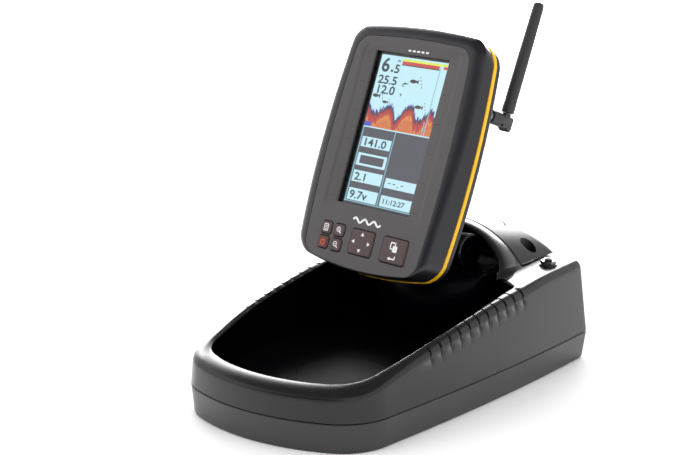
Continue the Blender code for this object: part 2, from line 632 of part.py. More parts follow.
def handset_fixed_parts(parent):
    band = prism("seal_band", handset_outline(-0.2), BAND_Z[0], BAND_Z[1], YELLOW, parent)
    cut(band, prism("band_hollow", handset_outline(6.4), -30.0, 0.0, parent=parent))
    for i, (x, y) in enumerate(HANDSET_SCREWS, 1):
        mat = rectangle(24.0, 12.0, y, x * 1.12, 3.0)
        fuse(band, prism(f"band_ear_{i}", mat, BAND_Z[0], BAND_Z[1], parent=parent))
        cut(band, rod(f"band_hole_{i}", 2.0, (x, y, -20), (x, y, 0), parent=parent, segments=16))
        screw = pan_screw(f"handset_screw_{i}", x, y, BACK_Z + 6.6, -14.0, 2.8, 1.8, 1.4, parent, flip=True)
        screw.parent = parent
    prism("window_lens", rectangle(WINDOW[0] + 4.2, WINDOW[1] + 4.2), -4.6, -3.0, CLEAR, parent)
    prism("lcd_module", rectangle(*LCD_MODULE, radius=1.0, steps=1), -9.6, LCD_Z, SCREEN, parent)
    prism("main_board", rectangle(84.0, 150.0, -13.0, radius=8.0), -20.6, -19.0, BOARD, parent)
    prism("keypad_mat", rectangle(92.0, 23.6, KEY_ROW_Y + 0.9, radius=3.0), -8.0, -5.2, RUBBER, parent)
    rod("buzzer", 6.0, (-38.0, -40.0, -26.0), (-38.0, -40.0, -20.9), RUBBER, parent, segments=20)


def keys(parent):
    for name, size, x, y in key_places():
        prism(name, rectangle(*size, y, x, 1.6), KEY_BOTTOM_Z, KEY_TOP_Z, KEY, parent)


def antenna(parent):
    """Threaded jack, swivelling sleeve with a fork, pin, and the folding whip."""
    x, y = ANTENNA_X, ANTENNA_Y
    jack = rod("antenna_jack", 3.8, (x, y, -42.1), (x, y, -26.0), STEEL, parent, segments=20)
    fuse(jack, rod("jack_flange", 5.4, (x, y, -33.4), (x, y, -31.0), parent=parent, segments=6))
    swivel = empty("antenna_swivel_axis", (x, y, HINGE_Z), (0.0, 0.0, ANTENNA_TURN), parent)
    sleeve = rod("antenna_sleeve", 4.4, (0, 0, SLEEVE_Z[1] - HINGE_Z), (0, 0, SLEEVE_Z[0] - HINGE_Z - 1.0),
                 BLACK, swivel, segments=28)
    block = box("knuckle_block", (-WHIP_R, -6.6, -WHIP_R), (WHIP_R, 3.7, 5.0), parent=swivel)
    fuse(sleeve, block)
    cut(sleeve, box("knuckle_slot", (-1.8, -5.4, -9.0), (1.8, 9.0, 3.9), parent=swivel))
    cut(sleeve, rod("knuckle_bore", 1.1, (-6, 0, 0), (6, 0, 0), parent=swivel, segments=16))
    rod("antenna_pin", 0.8, (-3.4, 0, 0), (3.4, 0, 0), STEEL, swivel, segments=14)
    fold = empty("antenna_fold_axis", (0, 0, 0), parent=swivel)
    tip = WHIP_TIP_Y - ANTENNA_Y
    whip = rod("antenna_whip", WHIP_R, (0, 6.3, 0), (0, tip - 3.0, 0), BLACK, fold, segments=24,
               end_radius=WHIP_TIP_R)
    dome = rod("whip_tip", WHIP_TIP_R - 0.1, (0, tip - 4.0, 0), (0, tip, 0), parent=fold, segments=24,
               end_radius=1.8)
    tongue = box("whip_tongue", (-1.5, 0.0, -2.9), (1.5, 8.0, 2.9), parent=fold)
    eye = rod("whip_eye", 2.9, (-1.5, 0, 0), (1.5, 0, 0), parent=fold, segments=24)
    fuse(whip, dome, tongue, eye)
    cut(whip, rod("whip_bore", 1.1, (-6, 0, 0), (6, 0, 0), parent=fold, segments=16))
    return whip


def handset(tilt_axis):
    frame = empty("handset_frame", (0.0, -HANDSET_FORWARD, HANDSET_UP), (pi / 2, 0.0, 0.0), tilt_axis)
    front_shell(frame)
    face_plate(frame)
    back_shell(frame)
    handset_fixed_parts(frame)
    keys(frame)
    antenna(frame)


def main():
    lower_tray()
    bake(upper_shell(), "base_upper_shell", BLACK)
    vault_cover()
    base_fasteners()
    base_contents()
    pan_axis = empty("pan_axis", (0.0, PAN_Y, 0.0), (0.0, 0.0, PAN_REST))
    turret(pan_axis)
    tilt_axis = empty("tilt_axis", (0.0, 0.0, TILT_Z), (-TILT_REST, 0.0, 0.0), pan_axis)
    neck(tilt_axis)
    handset(tilt_axis)


main()
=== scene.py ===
"""Looks for a portable fish finder: handset with a colour display, turret and tray-shaped base.

Sizes are in millimetres and are scaled by MM where a mesh is made.
"""

from math import asin, atan2, cos, hypot, pi, radians, sin, sqrt

import bmesh
import bpy
import numpy as np
from mathutils import Matrix, Vector


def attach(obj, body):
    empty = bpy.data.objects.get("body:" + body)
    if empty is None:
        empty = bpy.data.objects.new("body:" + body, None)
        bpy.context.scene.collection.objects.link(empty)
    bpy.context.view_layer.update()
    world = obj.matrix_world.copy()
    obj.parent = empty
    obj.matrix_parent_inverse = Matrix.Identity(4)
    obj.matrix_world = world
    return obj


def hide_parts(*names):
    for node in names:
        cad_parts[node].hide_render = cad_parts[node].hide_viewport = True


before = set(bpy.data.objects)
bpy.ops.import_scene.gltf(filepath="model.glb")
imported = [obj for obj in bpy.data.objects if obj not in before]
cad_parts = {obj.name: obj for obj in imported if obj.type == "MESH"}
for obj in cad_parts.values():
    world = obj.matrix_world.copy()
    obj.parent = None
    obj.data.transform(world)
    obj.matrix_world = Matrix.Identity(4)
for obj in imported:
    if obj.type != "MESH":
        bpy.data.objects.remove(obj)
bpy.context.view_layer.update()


MM = 0.001

# ---- base ----
BASE_HALF_LENGTH = 142
BASE_SIDE = (86.43, 0.0583, -0.00029)
NOSE_RADIUS = 136
CORNER_RADIUS = 40
CORNER_Y = -93.4
PARTING_Z = 20.1
DRAFT = 0.085
RIM_HEIGHTS = ((-160, 40.4), (-142, 40.8), (-118, 41.9), (-103, 44.8), (-84, 48.8), (-64, 53.1), (-46, 56.6),
               (-22, 60.7), (1, 64), (25, 67.2), (55, 70.1), (93, 73.4), (142, 74.5), (160, 74.8))
RIM_WIDTHS = ((-142, 14), (-128, 13.4), (-105, 11.4), (-64, 8), (-20, 7.4), (50, 9.5))
SHOULDER_HEIGHT = 6
SHOULDER_WIDTHS = ((-142, 11.8), (-128, 11), (-105, 8.6), (-64, 5.2), (-20, 5), (35, 5), (62, 4.2), (142, 3.4))
RIM_FALLS = ((-142, 0.2), (-110, 0.3), (-80, 0.6), (-20, 0.8), (10, 0.7), (30, 0.3), (44, 0), (160, 0))
WELL_FLOOR_Z = 18.5
NOTCHES = tuple(-53 + 10.7 * i for i in range(11))
NOTCH_DEPTH = 0.9

# ---- barrel ----
BARREL_R = 70.8
BARREL_Z = 32.4
GROOVE_Y = 97
ARCH_WALL = 3.2
MOUTH = ((0, 85), (22.9, 85.1), (31.9, 84.4), (38.7, 82.3), (45.4, 80.2), (51.1, 76.7), (54.9, 72.5),
         (58.3, 66.6), (66.7, 63.3), (74.4, 58.6), (77, 50))
COVER_REAR_R = 88.6
COVER_REAR_Z = 9.8
COVER_REAR_Y = 140.6
COVER_LEAN = 0.42
COVER_SCREW = (49, 120)

# ---- turret ----
PAN_Y = 83.5
TURRET_R = 47.5
CHEEK_R = 12.6
TURRET_Z = 50
SOCKET_R = 49.4
TILT_Z = 84
DRUM_R = 10.5
PAN_REST = -9.5
LEAN_REST = 20.6
FACE_FORWARD = 86
FACE_UP = 65.5
JACK_PLACE = (71.3, 111.2)
DISC_PLACE = (0, -42)

# ---- handset, in its own frame ----
HALF_WIDTH = 71.3
TOP_Y = 73.9
FOOT_Y = 101.8
EDGE_SIDE = 13.3
EDGE_TOP = 6.8
EDGE_FOOT = 1.6
CREASE_INSETS = (2.2, -1.8, 0.3)
CREASE_PULL = ((-102, 3.2), (-60, 3.4), (-25, 2.4), (15, 0.3), (40, 0), (80, 0))
CREASE_Z = -4.3
CREASE_TURN = radians(55)
CHAMFER_Z = -19.5
CHAMFER_SLOPE = 0.964
BAND_Z = (-15.5, -12.3)
BACK_Z = -38
HANDSET_SCREWS = ((50, 50), (-50, 50), (50, -78), (-50, -78))
LCD_Z = -5.3
LCD_HALF = (32.4, 54)
WINDOW_HALF = (35.3, 55.7)
ANTENNA = (47.5, 27.8)
ANTENNA_TURN = radians(-2.1)
HINGE_Z = -60
WHIP_TIP = 87.2


# ---- materials ----

def sockets(node, **values):
    """Sets a node's inputs; an underscore stands for a space in an input's name."""
    for name, value in values.items():
        node.inputs[name.replace("_", " ")].default_value = value


def node_tools(mat):
    """The material's shader, a call that adds a node and a call that links two sockets."""
    nodes, links = mat.node_tree.nodes, mat.node_tree.links

    def add(kind, **values):
        node = nodes.new("ShaderNode" + kind)
        sockets(node, **values)
        return node

    def link(source, output, target, name):
        links.new(source.outputs[output], target.inputs[name])

    return nodes["Principled BSDF"], add, link


def new_material(name):
    mat = bpy.data.materials.new(name)
    mat.use_nodes = True
    return (mat, *node_tools(mat))


def grained(name, colour, roughness, grain=1400, depth=0.02, blotch=0.12, metallic=0, coat=0,
            stretch=(1, 1, 1), specular=0.5, ior=1.5):
    """A moulded or machined surface: fine grain in the bump, broad drift in colour and gloss."""
    mat, shader, add, link = new_material(name)
    sockets(shader, Metallic=metallic, Coat_Weight=coat, Coat_Roughness=0.12, Specular_IOR_Level=specular, IOR=ior)
    place, mapping = add("TexCoord"), add("Mapping", Scale=stretch)
    link(place, "Object", mapping, "Vector")
    fine, broad = add("TexNoise", Scale=grain, Detail=3), add("TexNoise", Scale=22, Detail=4)
    for noise in (fine, broad):
        link(mapping, "Vector", noise, "Vector")
    tint = add("MixRGB", Color1=(*[c * (1 - blotch) for c in colour], 1),
               Color2=(*[min(1, c * (1 + blotch)) for c in colour], 1))
    link(broad, "Fac", tint, "Fac")
    link(tint, "Color", shader, "Base Color")
    gloss = add("MapRange", From_Min=0.3, From_Max=0.7, To_Min=roughness * 0.88, To_Max=min(1, roughness * 1.14))
    link(broad, "Fac", gloss, "Value")
    link(gloss, "Result", shader, "Roughness")
    bump = add("Bump", Strength=0.35, Distance=depth * MM)
    link(fine, "Fac", bump, "Height")
    link(bump, "Normal", shader, "Normal")
    return mat


def glowing(name, colour, strength):
    """A lit display colour that drifts a little from place to place."""
    mat, shader, add, link = new_material(name)
    sockets(shader, Roughness=0.5, Base_Color=DIM, Emission_Strength=strength)
    place, drift = add("TexCoord"), add("TexNoise", Scale=60)
    link(place, "Object", drift, "Vector")
    mix = add("MixRGB", Color1=(*[c * 0.97 for c in colour], 1), Color2=(*colour, 1))
    link(drift, "Fac", mix, "Fac")
    link(mix, "Color", shader, "Emission Color")
    return mat


def clear_window():
    mat, shader, add, link = new_material("clear_window")
    sockets(shader, Base_Color=(0.97, 0.99, 1, 1), Transmission_Weight=1, IOR=1.3)
    noise, gloss = add("TexNoise", Scale=30), add("MapRange", To_Min=0, To_Max=0.03)
    link(noise, "Fac", gloss, "Value")
    link(gloss, "Result", shader, "Roughness")
    return mat


def circuit_board():
    """Solder mask with a grid of darker parts and pale pads."""
    mask = (0.02, 0.16, 0.06)
    mat = grained("circuit_board", mask, 0.35, grain=600)
    shader, add, link = node_tools(mat)
    bricks = add("TexBrick", Scale=90, Mortar_Size=0.03, Color1=(*mask, 1), Color2=(0.015, 0.015, 0.015, 1),
                 Mortar=(0.35, 0.33, 0.2, 1))
    link(add("TexCoord"), "Object", bricks, "Vector")
    link(bricks, "Color", shader, "Base Color")
    return mat


DIM = (0.01, 0.01, 0.01, 1)
BLACK = grained("base_black", (0.01, 0.01, 0.011), 0.24, depth=0.01, specular=0.46)
TRAY_BLACK = grained("tray_black", (0.032, 0.032, 0.034), 0.36, depth=0.012)
# Painted shade: a near-black copy of the base black with its reflections cut, for the well's wall, floor and disc.
WELL_PAINTED_SHADE = grained("well_painted_shade", (0.0015, 0.0015, 0.002), 0.3, depth=0, ior=1.06)
DARK_STEEL = grained("dark_screw_steel", (0.012, 0.012, 0.013), 0.4, metallic=0.6)
COVER_BLACK = grained("cover_black", (0.012, 0.012, 0.013), 0.34, depth=0.01)
# Painted shade: a near-black copy of the base black with its reflections cut, for the turret, its cheeks and pin
# caps, and the neck under the arch.
TURRET_PAINTED_SHADE = grained("turret_painted_shade", (0.0012, 0.0012, 0.003), 0.28, depth=0.01, ior=1.14)
SHELL_GREY = grained("handset_shell", (0.011, 0.01, 0.014), 0.3, specular=0.62)
BACK_BLACK = grained("handset_back", (0.014, 0.013, 0.014), 0.42, depth=0.03, specular=0.42)
FACE_GREY = grained("face_plate_grey", (0.078, 0.072, 0.074), 0.46, specular=0.42)
KEY_BROWN = grained("key_brown", (0.085, 0.055, 0.057), 0.55, depth=0.03, specular=0.4)
KEY_RED = grained("key_red_brown", (0.11, 0.045, 0.04), 0.55, depth=0.03, specular=0.4)
YELLOW = grained("seal_yellow", (0.93, 0.52, 0.004), 0.42, blotch=0.04)
ANTENNA_BLACK = grained("antenna_black", (0.03, 0.029, 0.031), 0.46, grain=900, depth=0.03)
MASK_BLACK = grained("display_mask", (0.012, 0.012, 0.014), 0.2, depth=0.005)
STEEL = grained("zinc_steel", (0.55, 0.55, 0.57), 0.3, metallic=1, stretch=(1, 1, 0.05))
NICKEL = grained("nickel", (0.22, 0.22, 0.215), 0.24, metallic=1, stretch=(1, 1, 0.05))
NYLON = grained("nylon", (0.72, 0.7, 0.64), 0.5)
RUBBER = grained("foot_rubber", (0.018, 0.018, 0.018), 0.8, grain=800, depth=0.05)
MAT_RUBBER = grained("mat_rubber", (0.05, 0.05, 0.05), 0.7)
WRAP = grained("battery_wrap", (0.03, 0.09, 0.28), 0.3, coat=0.4)
BOARD = circuit_board()
INK_WHITE = grained("ink_white", (0.85, 0.85, 0.85), 0.5, blotch=0.03)
INK_RED = grained("ink_red", (0.75, 0.1, 0.04), 0.5, blotch=0.05)
INK_DARK = grained("ink_dark", (0.03, 0.028, 0.028), 0.6, blotch=0.1)
WINDOW = clear_window()
LIT_PALE = glowing("lit_pale", (0.6, 0.9, 1), 0.95)
LIT_GREY = glowing("lit_grey", (0.082, 0.078, 0.102), 0.85)
LIT_DARK = glowing("lit_dark", (0.035, 0.03, 0.036), 0.9)
LIT_LINE = glowing("lit_line", (0.28, 0.58, 0.72), 0.9)
LIT_INK = glowing("lit_ink", (0.012, 0.03, 0.045), 1)
LIT_RED = glowing("lit_red", (0.62, 0.045, 0.05), 1)
LIT_LIME = glowing("lit_lime", (0.75, 0.88, 0.08), 1)


# ---- mesh helpers ----

def smooth_between(points, x):
    """A smooth curve through (x, value) points."""
    for i in range(len(points) - 1):
        if x <= points[i + 1][0] or i == len(points) - 2:
            break
    (x1, y1), (x2, y2) = points[i], points[i + 1]
    x0, y0 = points[max(i - 1, 0)]
    x3, y3 = points[min(i + 2, len(points) - 1)]
    t = min(max((x - x1) / (x2 - x1), 0), 1)
    m1 = (y2 - y0) / (x2 - x0) * (x2 - x1)
    m2 = (y3 - y1) / (x3 - x1) * (x2 - x1)
    a, b = 2 * t ** 3 - 3 * t ** 2 + 1, t ** 3 - 2 * t ** 2 + t
    c, d = -2 * t ** 3 + 3 * t ** 2, t ** 3 - t ** 2
    return a * y1 + b * m1 + c * y2 + d * m2


def resample(points, count):
    """count points at even distances along a line of points."""
    steps = [0]
    for a, b in zip(points, points[1:]):
        steps.append(steps[-1] + hypot(b[0] - a[0], b[1] - a[1]))
    marks = np.linspace(0, steps[-1], count)
    xs = np.interp(marks, steps, [p[0] for p in points])
    ys = np.interp(marks, steps, [p[1] for p in points])
    return list(zip(xs, ys))


def arc(cx, cy, radius, start, end, steps):
    points = []
    for i in range(steps + 1):
        angle = radians(start + (end - start) * i / steps)
        points.append((cx + radius * cos(angle), cy + radius * sin(angle)))
    return points


def shift(x, y, z=0):
    return Matrix.Translation(Vector((x, y, z)) * MM)


def placed(name, data):
    ob = bpy.data.objects.new(name, data)
    bpy.context.scene.collection.objects.link(ob)
    return ob


def new_object(name, mesh, mat, body, matrix=None, replaces=(), sharp=34):
    """A smooth shaded piece that rides on a body; edges steeper than sharp degrees stay crisp."""
    mesh.materials.clear()
    mesh.materials.append(mat)
    mesh.shade_smooth()
    mesh.set_sharp_from_angle(angle=radians(sharp))
    ob = placed(name, mesh)
    if matrix is not None:
        ob.matrix_world = matrix
    if body:
        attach(ob, body)
    if replaces:
        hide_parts(*replaces)
    return ob


def on_handset(name, mesh, mat, replaces=(), sharp=34):
    return new_object(name, mesh, mat, "handset", HANDSET, replaces, sharp)


def on_base(name, mesh, mat, replaces=(), sharp=34):
    return new_object(name, mesh, mat, "base", None, replaces, sharp)


def to_mesh(bm, name):
    mesh = bpy.data.meshes.new(name)
    bm.to_mesh(mesh)
    bm.free()
    return mesh


def swept(name, rings, closed=True, loop=False):
    """A skin over rows of (x, y, z). closed joins each row's ends; loop joins last row to first."""
    bm = bmesh.new()
    rows = [[bm.verts.new(Vector(p) * MM) for p in ring] for ring in rings]
    count = len(rows[0])
    pairs = list(zip(rows, rows[1:]))
    if loop:
        pairs.append((rows[-1], rows[0]))
    for low, high in pairs:
        for i in range(count if closed else count - 1):
            j = (i + 1) % count
            bm.faces.new((low[i], low[j], high[j], high[i]))
    if loop and not closed:
        bm.faces.new([row[0] for row in rows])
        bm.faces.new([row[-1] for row in rows])
    if not loop:
        bm.faces.new(rows[0])
        bm.faces.new(rows[-1])
    bmesh.ops.remove_doubles(bm, verts=bm.verts, dist=0.000002)
    bmesh.ops.recalc_face_normals(bm, faces=bm.faces)
    return to_mesh(bm, name)


def level(points, z):
    return [(x, y, z) for x, y in points]


def turned(name, profile, segments=48, axis='Z'):
    """A solid of revolution. The profile is (radius, height) pairs; both ends meet the axis or close."""
    rings = []
    for r, h in profile:
        ring = []
        for i in range(segments):
            a = 2 * pi * i / segments
            x, y = r * cos(a), r * sin(a)
            ring.append({'Z': (x, y, h), 'Y': (x, h, y), 'X': (h, x, y)}[axis])
        rings.append(ring)
    return swept(name, rings)


def evaluated_mesh(ob):
    return bpy.data.meshes.new_from_object(ob.evaluated_get(bpy.context.evaluated_depsgraph_get()))


def carved(mesh, tools, operation='DIFFERENCE'):
    """The mesh with the tool meshes taken from it, or joined to it."""
    items = [placed("cutter", data) for data in (mesh, *tools)]
    for helper in items[1:]:
        mod = items[0].modifiers.new("cut", 'BOOLEAN')
        mod.operation = operation
        mod.solver = 'EXACT'
        mod.object = helper
    bpy.context.view_layer.update()
    result = evaluated_mesh(items[0])
    for item in items:
        bpy.data.objects.remove(item, do_unlink=True)
    return result


def plate(name, polygons, z0, z1):
    """Thin flat shapes of one height, such as printed marks."""
    bm = bmesh.new()
    for points in polygons:
        low = [bm.verts.new(Vector((x, y, z0)) * MM) for x, y in points]
        high = [bm.verts.new(Vector((x, y, z1)) * MM) for x, y in points]
        bm.faces.new(low)
        bm.faces.new(high)
        for i in range(len(points)):
            j = (i + 1) % len(points)
            bm.faces.new((low[i], low[j], high[j], high[i]))
    bmesh.ops.recalc_face_normals(bm, faces=bm.faces)
    return to_mesh(bm, name)


def stroke(points, width, closed=False):
    """Quads that draw a line of the given width through the points."""
    shapes = []
    line = list(points) + ([points[0]] if closed else [])
    for (ax, ay), (bx, by) in zip(line, line[1:]):
        length = max(hypot(bx - ax, by - ay), 1e-6)
        nx, ny = -(by - ay) / length * width / 2, (bx - ax) / length * width / 2
        shapes.append([(ax + nx, ay + ny), (bx + nx, by + ny), (bx - nx, by - ny), (ax - nx, ay - ny)])
    return shapes


def rectangle(x0, y0, x1, y1):
    return [(x0, y0), (x1, y0), (x1, y1), (x0, y1)]


# ---- base ----

def side_x(y):
    a, b, c = BASE_SIDE
    return a + b * y + c * y * y


def rim_z(y):
    return smooth_between(RIM_HEIGHTS, y)


def side_stations():
    """Y values along the side, close together at the grip notches."""
    ys = set(float(y) for y in np.arange(-90, -60, 5))
    ys |= set(float(y) for y in np.arange(62, 138, 6))
    for centre in NOTCHES:
        ys |= {centre - 1.1, centre - 0.55, centre + 0.55, centre + 1.1, centre + 5}
    return sorted(ys, reverse=True)


SIDE_YS = side_stations()


def notch(x, y):
    """1 inside a grip notch in the side rims, else 0."""
    if abs(x) < 55:
        return 0
    return 1 if any(abs(y - centre) < 0.8 for centre in NOTCHES) else 0


def base_half(inset):
    """Right half of the base's plan from rear centre to front centre; inset(y) moves it inwards."""
    corner_x = side_x(CORNER_Y) - CORNER_RADIUS
    nose_y = NOSE_RADIUS - BASE_HALF_LENGTH
    swing = asin(corner_x / (NOSE_RADIUS - CORNER_RADIUS))
    corner_y = nose_y - (NOSE_RADIUS - CORNER_RADIUS) * cos(swing)
    rear = BASE_HALF_LENGTH - inset(BASE_HALF_LENGTH)
    edge_x = side_x(rear) - inset(rear)
    points = [((edge_x - 3) * i / 12, rear) for i in range(13)]
    points += arc(edge_x - 3, rear - 3, 3, 75, 0, 5)
    for y in SIDE_YS:
        points.append((side_x(y) - inset(y), y))
    turn = -90 + swing * 180 / pi
    for i in range(19):
        angle = radians(-6 + (turn + 6) * i / 18)
        outer_y = corner_y + CORNER_RADIUS * sin(angle)
        reach = CORNER_RADIUS - inset(outer_y)
        points.append((corner_x + reach * cos(angle), corner_y + reach * sin(angle)))
    for i in range(1, 9):
        angle = swing * (1 - i / 8)
        outer_y = nose_y - NOSE_RADIUS * cos(angle)
        reach = NOSE_RADIUS - inset(outer_y)
        points.append((reach * sin(angle), nose_y - reach * cos(angle)))
    return points


def mirror_line(half):
    return list(half) + [(-p[0], *p[1:]) for p in reversed(half[1:-1])]


def plan_ring(inset, z):
    return mirror_line(level(base_half(lambda y: inset), z))


def wall_ring(extra, height, grooved=1):
    """A ring on the drafted outer wall; height(y) is its level and extra(y) moves it inwards."""
    half = base_half(lambda y: DRAFT * max(0, height(y) - PARTING_Z) + extra(y))
    return mirror_line([(x - NOTCH_DEPTH * notch(x, y) * grooved, y, height(y) - NOTCH_DEPTH * notch(x, y) * grooved)
                        for x, y in half])


def well_half(count_rear):
    """Right half of the well's edge, matching base_half point for point."""
    half = base_half(lambda y: DRAFT * (rim_z(y) - PARTING_Z) + smooth_between(RIM_WIDTHS, min(y, 50)))
    rear = arc(0, PAN_Y, SOCKET_R, 90, -7, 40)
    rear += [p for p in MOUTH if p[0] > 52][:-1]
    rear.append(half[count_rear])
    half[:count_rear + 1] = resample(rear, count_rear + 1)
    return half


def outward(points):
    """Unit vectors to the right-hand side of a closed line, away from the well."""
    vectors = []
    count = len(points)
    for i in range(count):
        ax, ay = points[i - 1][:2]
        bx, by = points[(i + 1) % count][:2]
        length = hypot(bx - ax, by - ay)
        vectors.append((-(by - ay) / length, (bx - ax) / length))
    return vectors


def shoulder_width(y):
    return smooth_between(SHOULDER_WIDTHS, y)


def rim_fall(y):
    """How far the rim's top falls from its crest to the well."""
    return smooth_between(RIM_FALLS, y)


def inside(line, x, y):
    """Whether a point lies inside a closed line."""
    found = False
    for (ax, ay), (bx, by) in zip(line, line[1:] + line[:1]):
        if (ay > y) != (by > y) and x < ax + (bx - ax) * (y - ay) / (by - ay):
            found = not found
    return found


def upper_shell():
    """The base's upper half: outer wall, rounded shoulder, rim top, lip, well wall and well floor."""
    foot_z = 20.7
    rings = [plan_ring(inset, z) for inset, z in ((1, 20.3), (0.3, 20.3), (0, foot_z))]
    for f in (0.3, 0.65, 0.9):
        rings.append(wall_ring(lambda y: 0, lambda y: foot_z + f * (rim_z(y) - 13 - foot_z), 0))
    for below, grooved in ((12, 0), (8.5, 0.45)):
        rings.append(wall_ring(lambda y: 0, lambda y: rim_z(y) - below, grooved))
    for a in (0, 12, 24, 36, 48, 60, 72, 82):
        s, c = sin(radians(a)), cos(radians(a))
        rings.append(wall_ring(lambda y: shoulder_width(y) * (1 - c), lambda y: rim_z(y) - SHOULDER_HEIGHT * (1 - s)))
    shoulder = wall_ring(shoulder_width, rim_z)
    rings.append(shoulder)
    count_rear = 18 + sum(1 for y in SIDE_YS if y > 52)
    edge = mirror_line(well_half(count_rear))
    away = outward(edge)
    sign = 1 if away[len(edge) // 2][1] < 0 else -1
    away = [(sign * x, sign * y) for x, y in away]
    round_r = 1.2
    lip = [(x + round_r * nx, y + round_r * ny) for (x, y), (nx, ny) in zip(edge, away)]
    for t in (0.2, 0.4, 0.6, 0.8, 1):
        ring = []
        for (sx, sy, sz), (lx, ly) in zip(shoulder, lip):
            x, y = sx + (lx - sx) * t, sy + (ly - sy) * t
            ring.append((x, y, rim_z(y) - rim_fall(y) * t * t - NOTCH_DEPTH * notch(x, y)))
        rings.append(ring)
    for a in (30, 60, 90):
        s, c = sin(radians(a)), cos(radians(a))
        rings.append([(x + round_r * (1 - s) * nx, y + round_r * (1 - s) * ny,
                       rim_z(y) - rim_fall(y) - round_r * (1 - c) - NOTCH_DEPTH * notch(x, y) * 0.5)
                      for (x, y), (nx, ny) in zip(edge, away)])
    fillet = 6
    for f in (0.12, 0.4, 0.7, 1):
        ring = []
        for (x, y), (nx, ny) in zip(edge, away):
            top = rim_z(y) - rim_fall(y) - round_r
            z = top + (WELL_FLOOR_Z + fillet - top) * f
            ring.append((x - 0.03 * (top - z) * nx, y - 0.03 * (top - z) * ny, z))
        rings.append(ring)
    foot = rings[-1]
    for a in (22, 45, 67, 90):
        s, c = sin(radians(a)), cos(radians(a))
        rings.append([(x - fillet * (1 - c) * nx, y - fillet * (1 - c) * ny, WELL_FLOOR_Z + fillet * (1 - s))
                      for (x, y, _), (nx, ny) in zip(foot, away)])
    mesh = swept("upper_shell", rings)
    on_base("upper_shell", mesh, BLACK, ["base_upper_shell"], sharp=40)
    # The well's wall and floor faces take the darker copy of the black: painted shade in the well.
    mesh.materials.append(WELL_PAINTED_SHADE)
    border = [(x - 0.6 * nx, y - 0.6 * ny) for (x, y), (nx, ny) in zip([p[:2] for p in lip], away)]
    for face in mesh.polygons:
        x, y, z = face.center / MM
        if WELL_FLOOR_Z - 1 <= z <= rim_z(y) - rim_fall(y) - 1 and inside(border, x, y):
            face.material_index = 1


def lower_tray():
    """The base's lower half, drafted towards the floor, with four screw holes."""
    steps = [(5, 0), (3.4, 0), (2.4, 0.4), (1.9, 1.5)]
    steps += [(1.9 * (1 - f), 1.5 + 17.8 * f) for f in (0.25, 0.5, 0.75, 1)]
    steps += [(0.3, 19.8), (1.2, 19.8)]
    mesh = swept("lower_tray", [plan_ring(inset, z) for inset, z in steps])
    holes = []
    for x, y in ((80.6, 126), (-80.6, 126), (73.9, -60), (-73.9, -60)):
        hole = turned("hole", [(3.6, -1), (3.6, 5.5)], 24)
        hole.transform(shift(x, y))
        holes.append(hole)
    on_base("lower_tray", carved(mesh, holes), TRAY_BLACK, ["base_lower_tray"])


def arch_section(drop):
    """Cross-section of the barrel in x and z: an arc with a flare at each foot, drop mm inside it."""
    deck = rim_z(80)
    limit = asin((deck + 5 - BARREL_Z) / BARREL_R) * 180 / pi
    half = arc(0, BARREL_Z, BARREL_R - drop, 90, limit, 26)
    x0, z0 = half[-1]
    slope = radians(limit)
    corner = (x0 + (z0 - deck) * sin(slope) / cos(slope), deck)
    end = (corner[0] + 5, deck - 0.4)
    for i in range(1, 7):
        t = i / 6
        x = (1 - t) ** 2 * x0 + 2 * t * (1 - t) * corner[0] + t * t * end[0]
        z = (1 - t) ** 2 * z0 + 2 * t * (1 - t) * corner[1] + t * t * end[1]
        half.append((x if drop < 0.01 else min(x, x0 + 1 + i * 0.4), z if drop < 0.01 else z - drop * i / 6))
    return [(-x, z) for x, z in reversed(half[1:])] + half


def mouth_y(x):
    return smooth_between(MOUTH, min(abs(x), 76))


def arch():
    """The arch over the turret, from the groove at its rear to its curved mouth."""
    rows = [[(x, y, z) for x, z in arch_section(drop)]
            for drop, y in ((0, GROOVE_Y - 0.9), (0.5, GROOVE_Y - 0.2), (ARCH_WALL, GROOVE_Y - 0.2))]
    for drop, back in ((ARCH_WALL, 1.2), (ARCH_WALL - 0.9, 0.3), (1.4, 0), (0.5, 0.25), (0, 1.1)):
        rows.append([(x, mouth_y(xo) + back, z) for (x, z), (xo, _) in zip(arch_section(drop), arch_section(0))])
    mesh = swept("barrel_arch", rows, closed=False, loop=True)
    on_base("barrel_arch", mesh, BLACK, sharp=50)


def cover_section(f, skin):
    """The cover's ring at fraction f from groove to rear, skin mm inside."""
    radius = BARREL_R + (COVER_REAR_R - BARREL_R) * f - skin
    centre = BARREL_Z + (COVER_REAR_Z - BARREL_Z) * f
    half_width = 58 + 1 * f - skin
    low = 74.9 + 0.3 * f
    edge = atan2(sqrt(radius ** 2 - half_width ** 2), half_width) * 180 / pi
    edge = max(edge, asin((low + 0.05 - centre) / radius) * 180 / pi)
    front = GROOVE_Y + 0.6
    ring = []
    for x, z in [(half_width, low)] + arc(0, centre, radius, edge, 180 - edge, 48) + [(-half_width, low)]:
        rear = COVER_REAR_Y - COVER_LEAN * max(0, z - 75)
        ring.append((x, front + (rear - front) * f, z))
    return ring


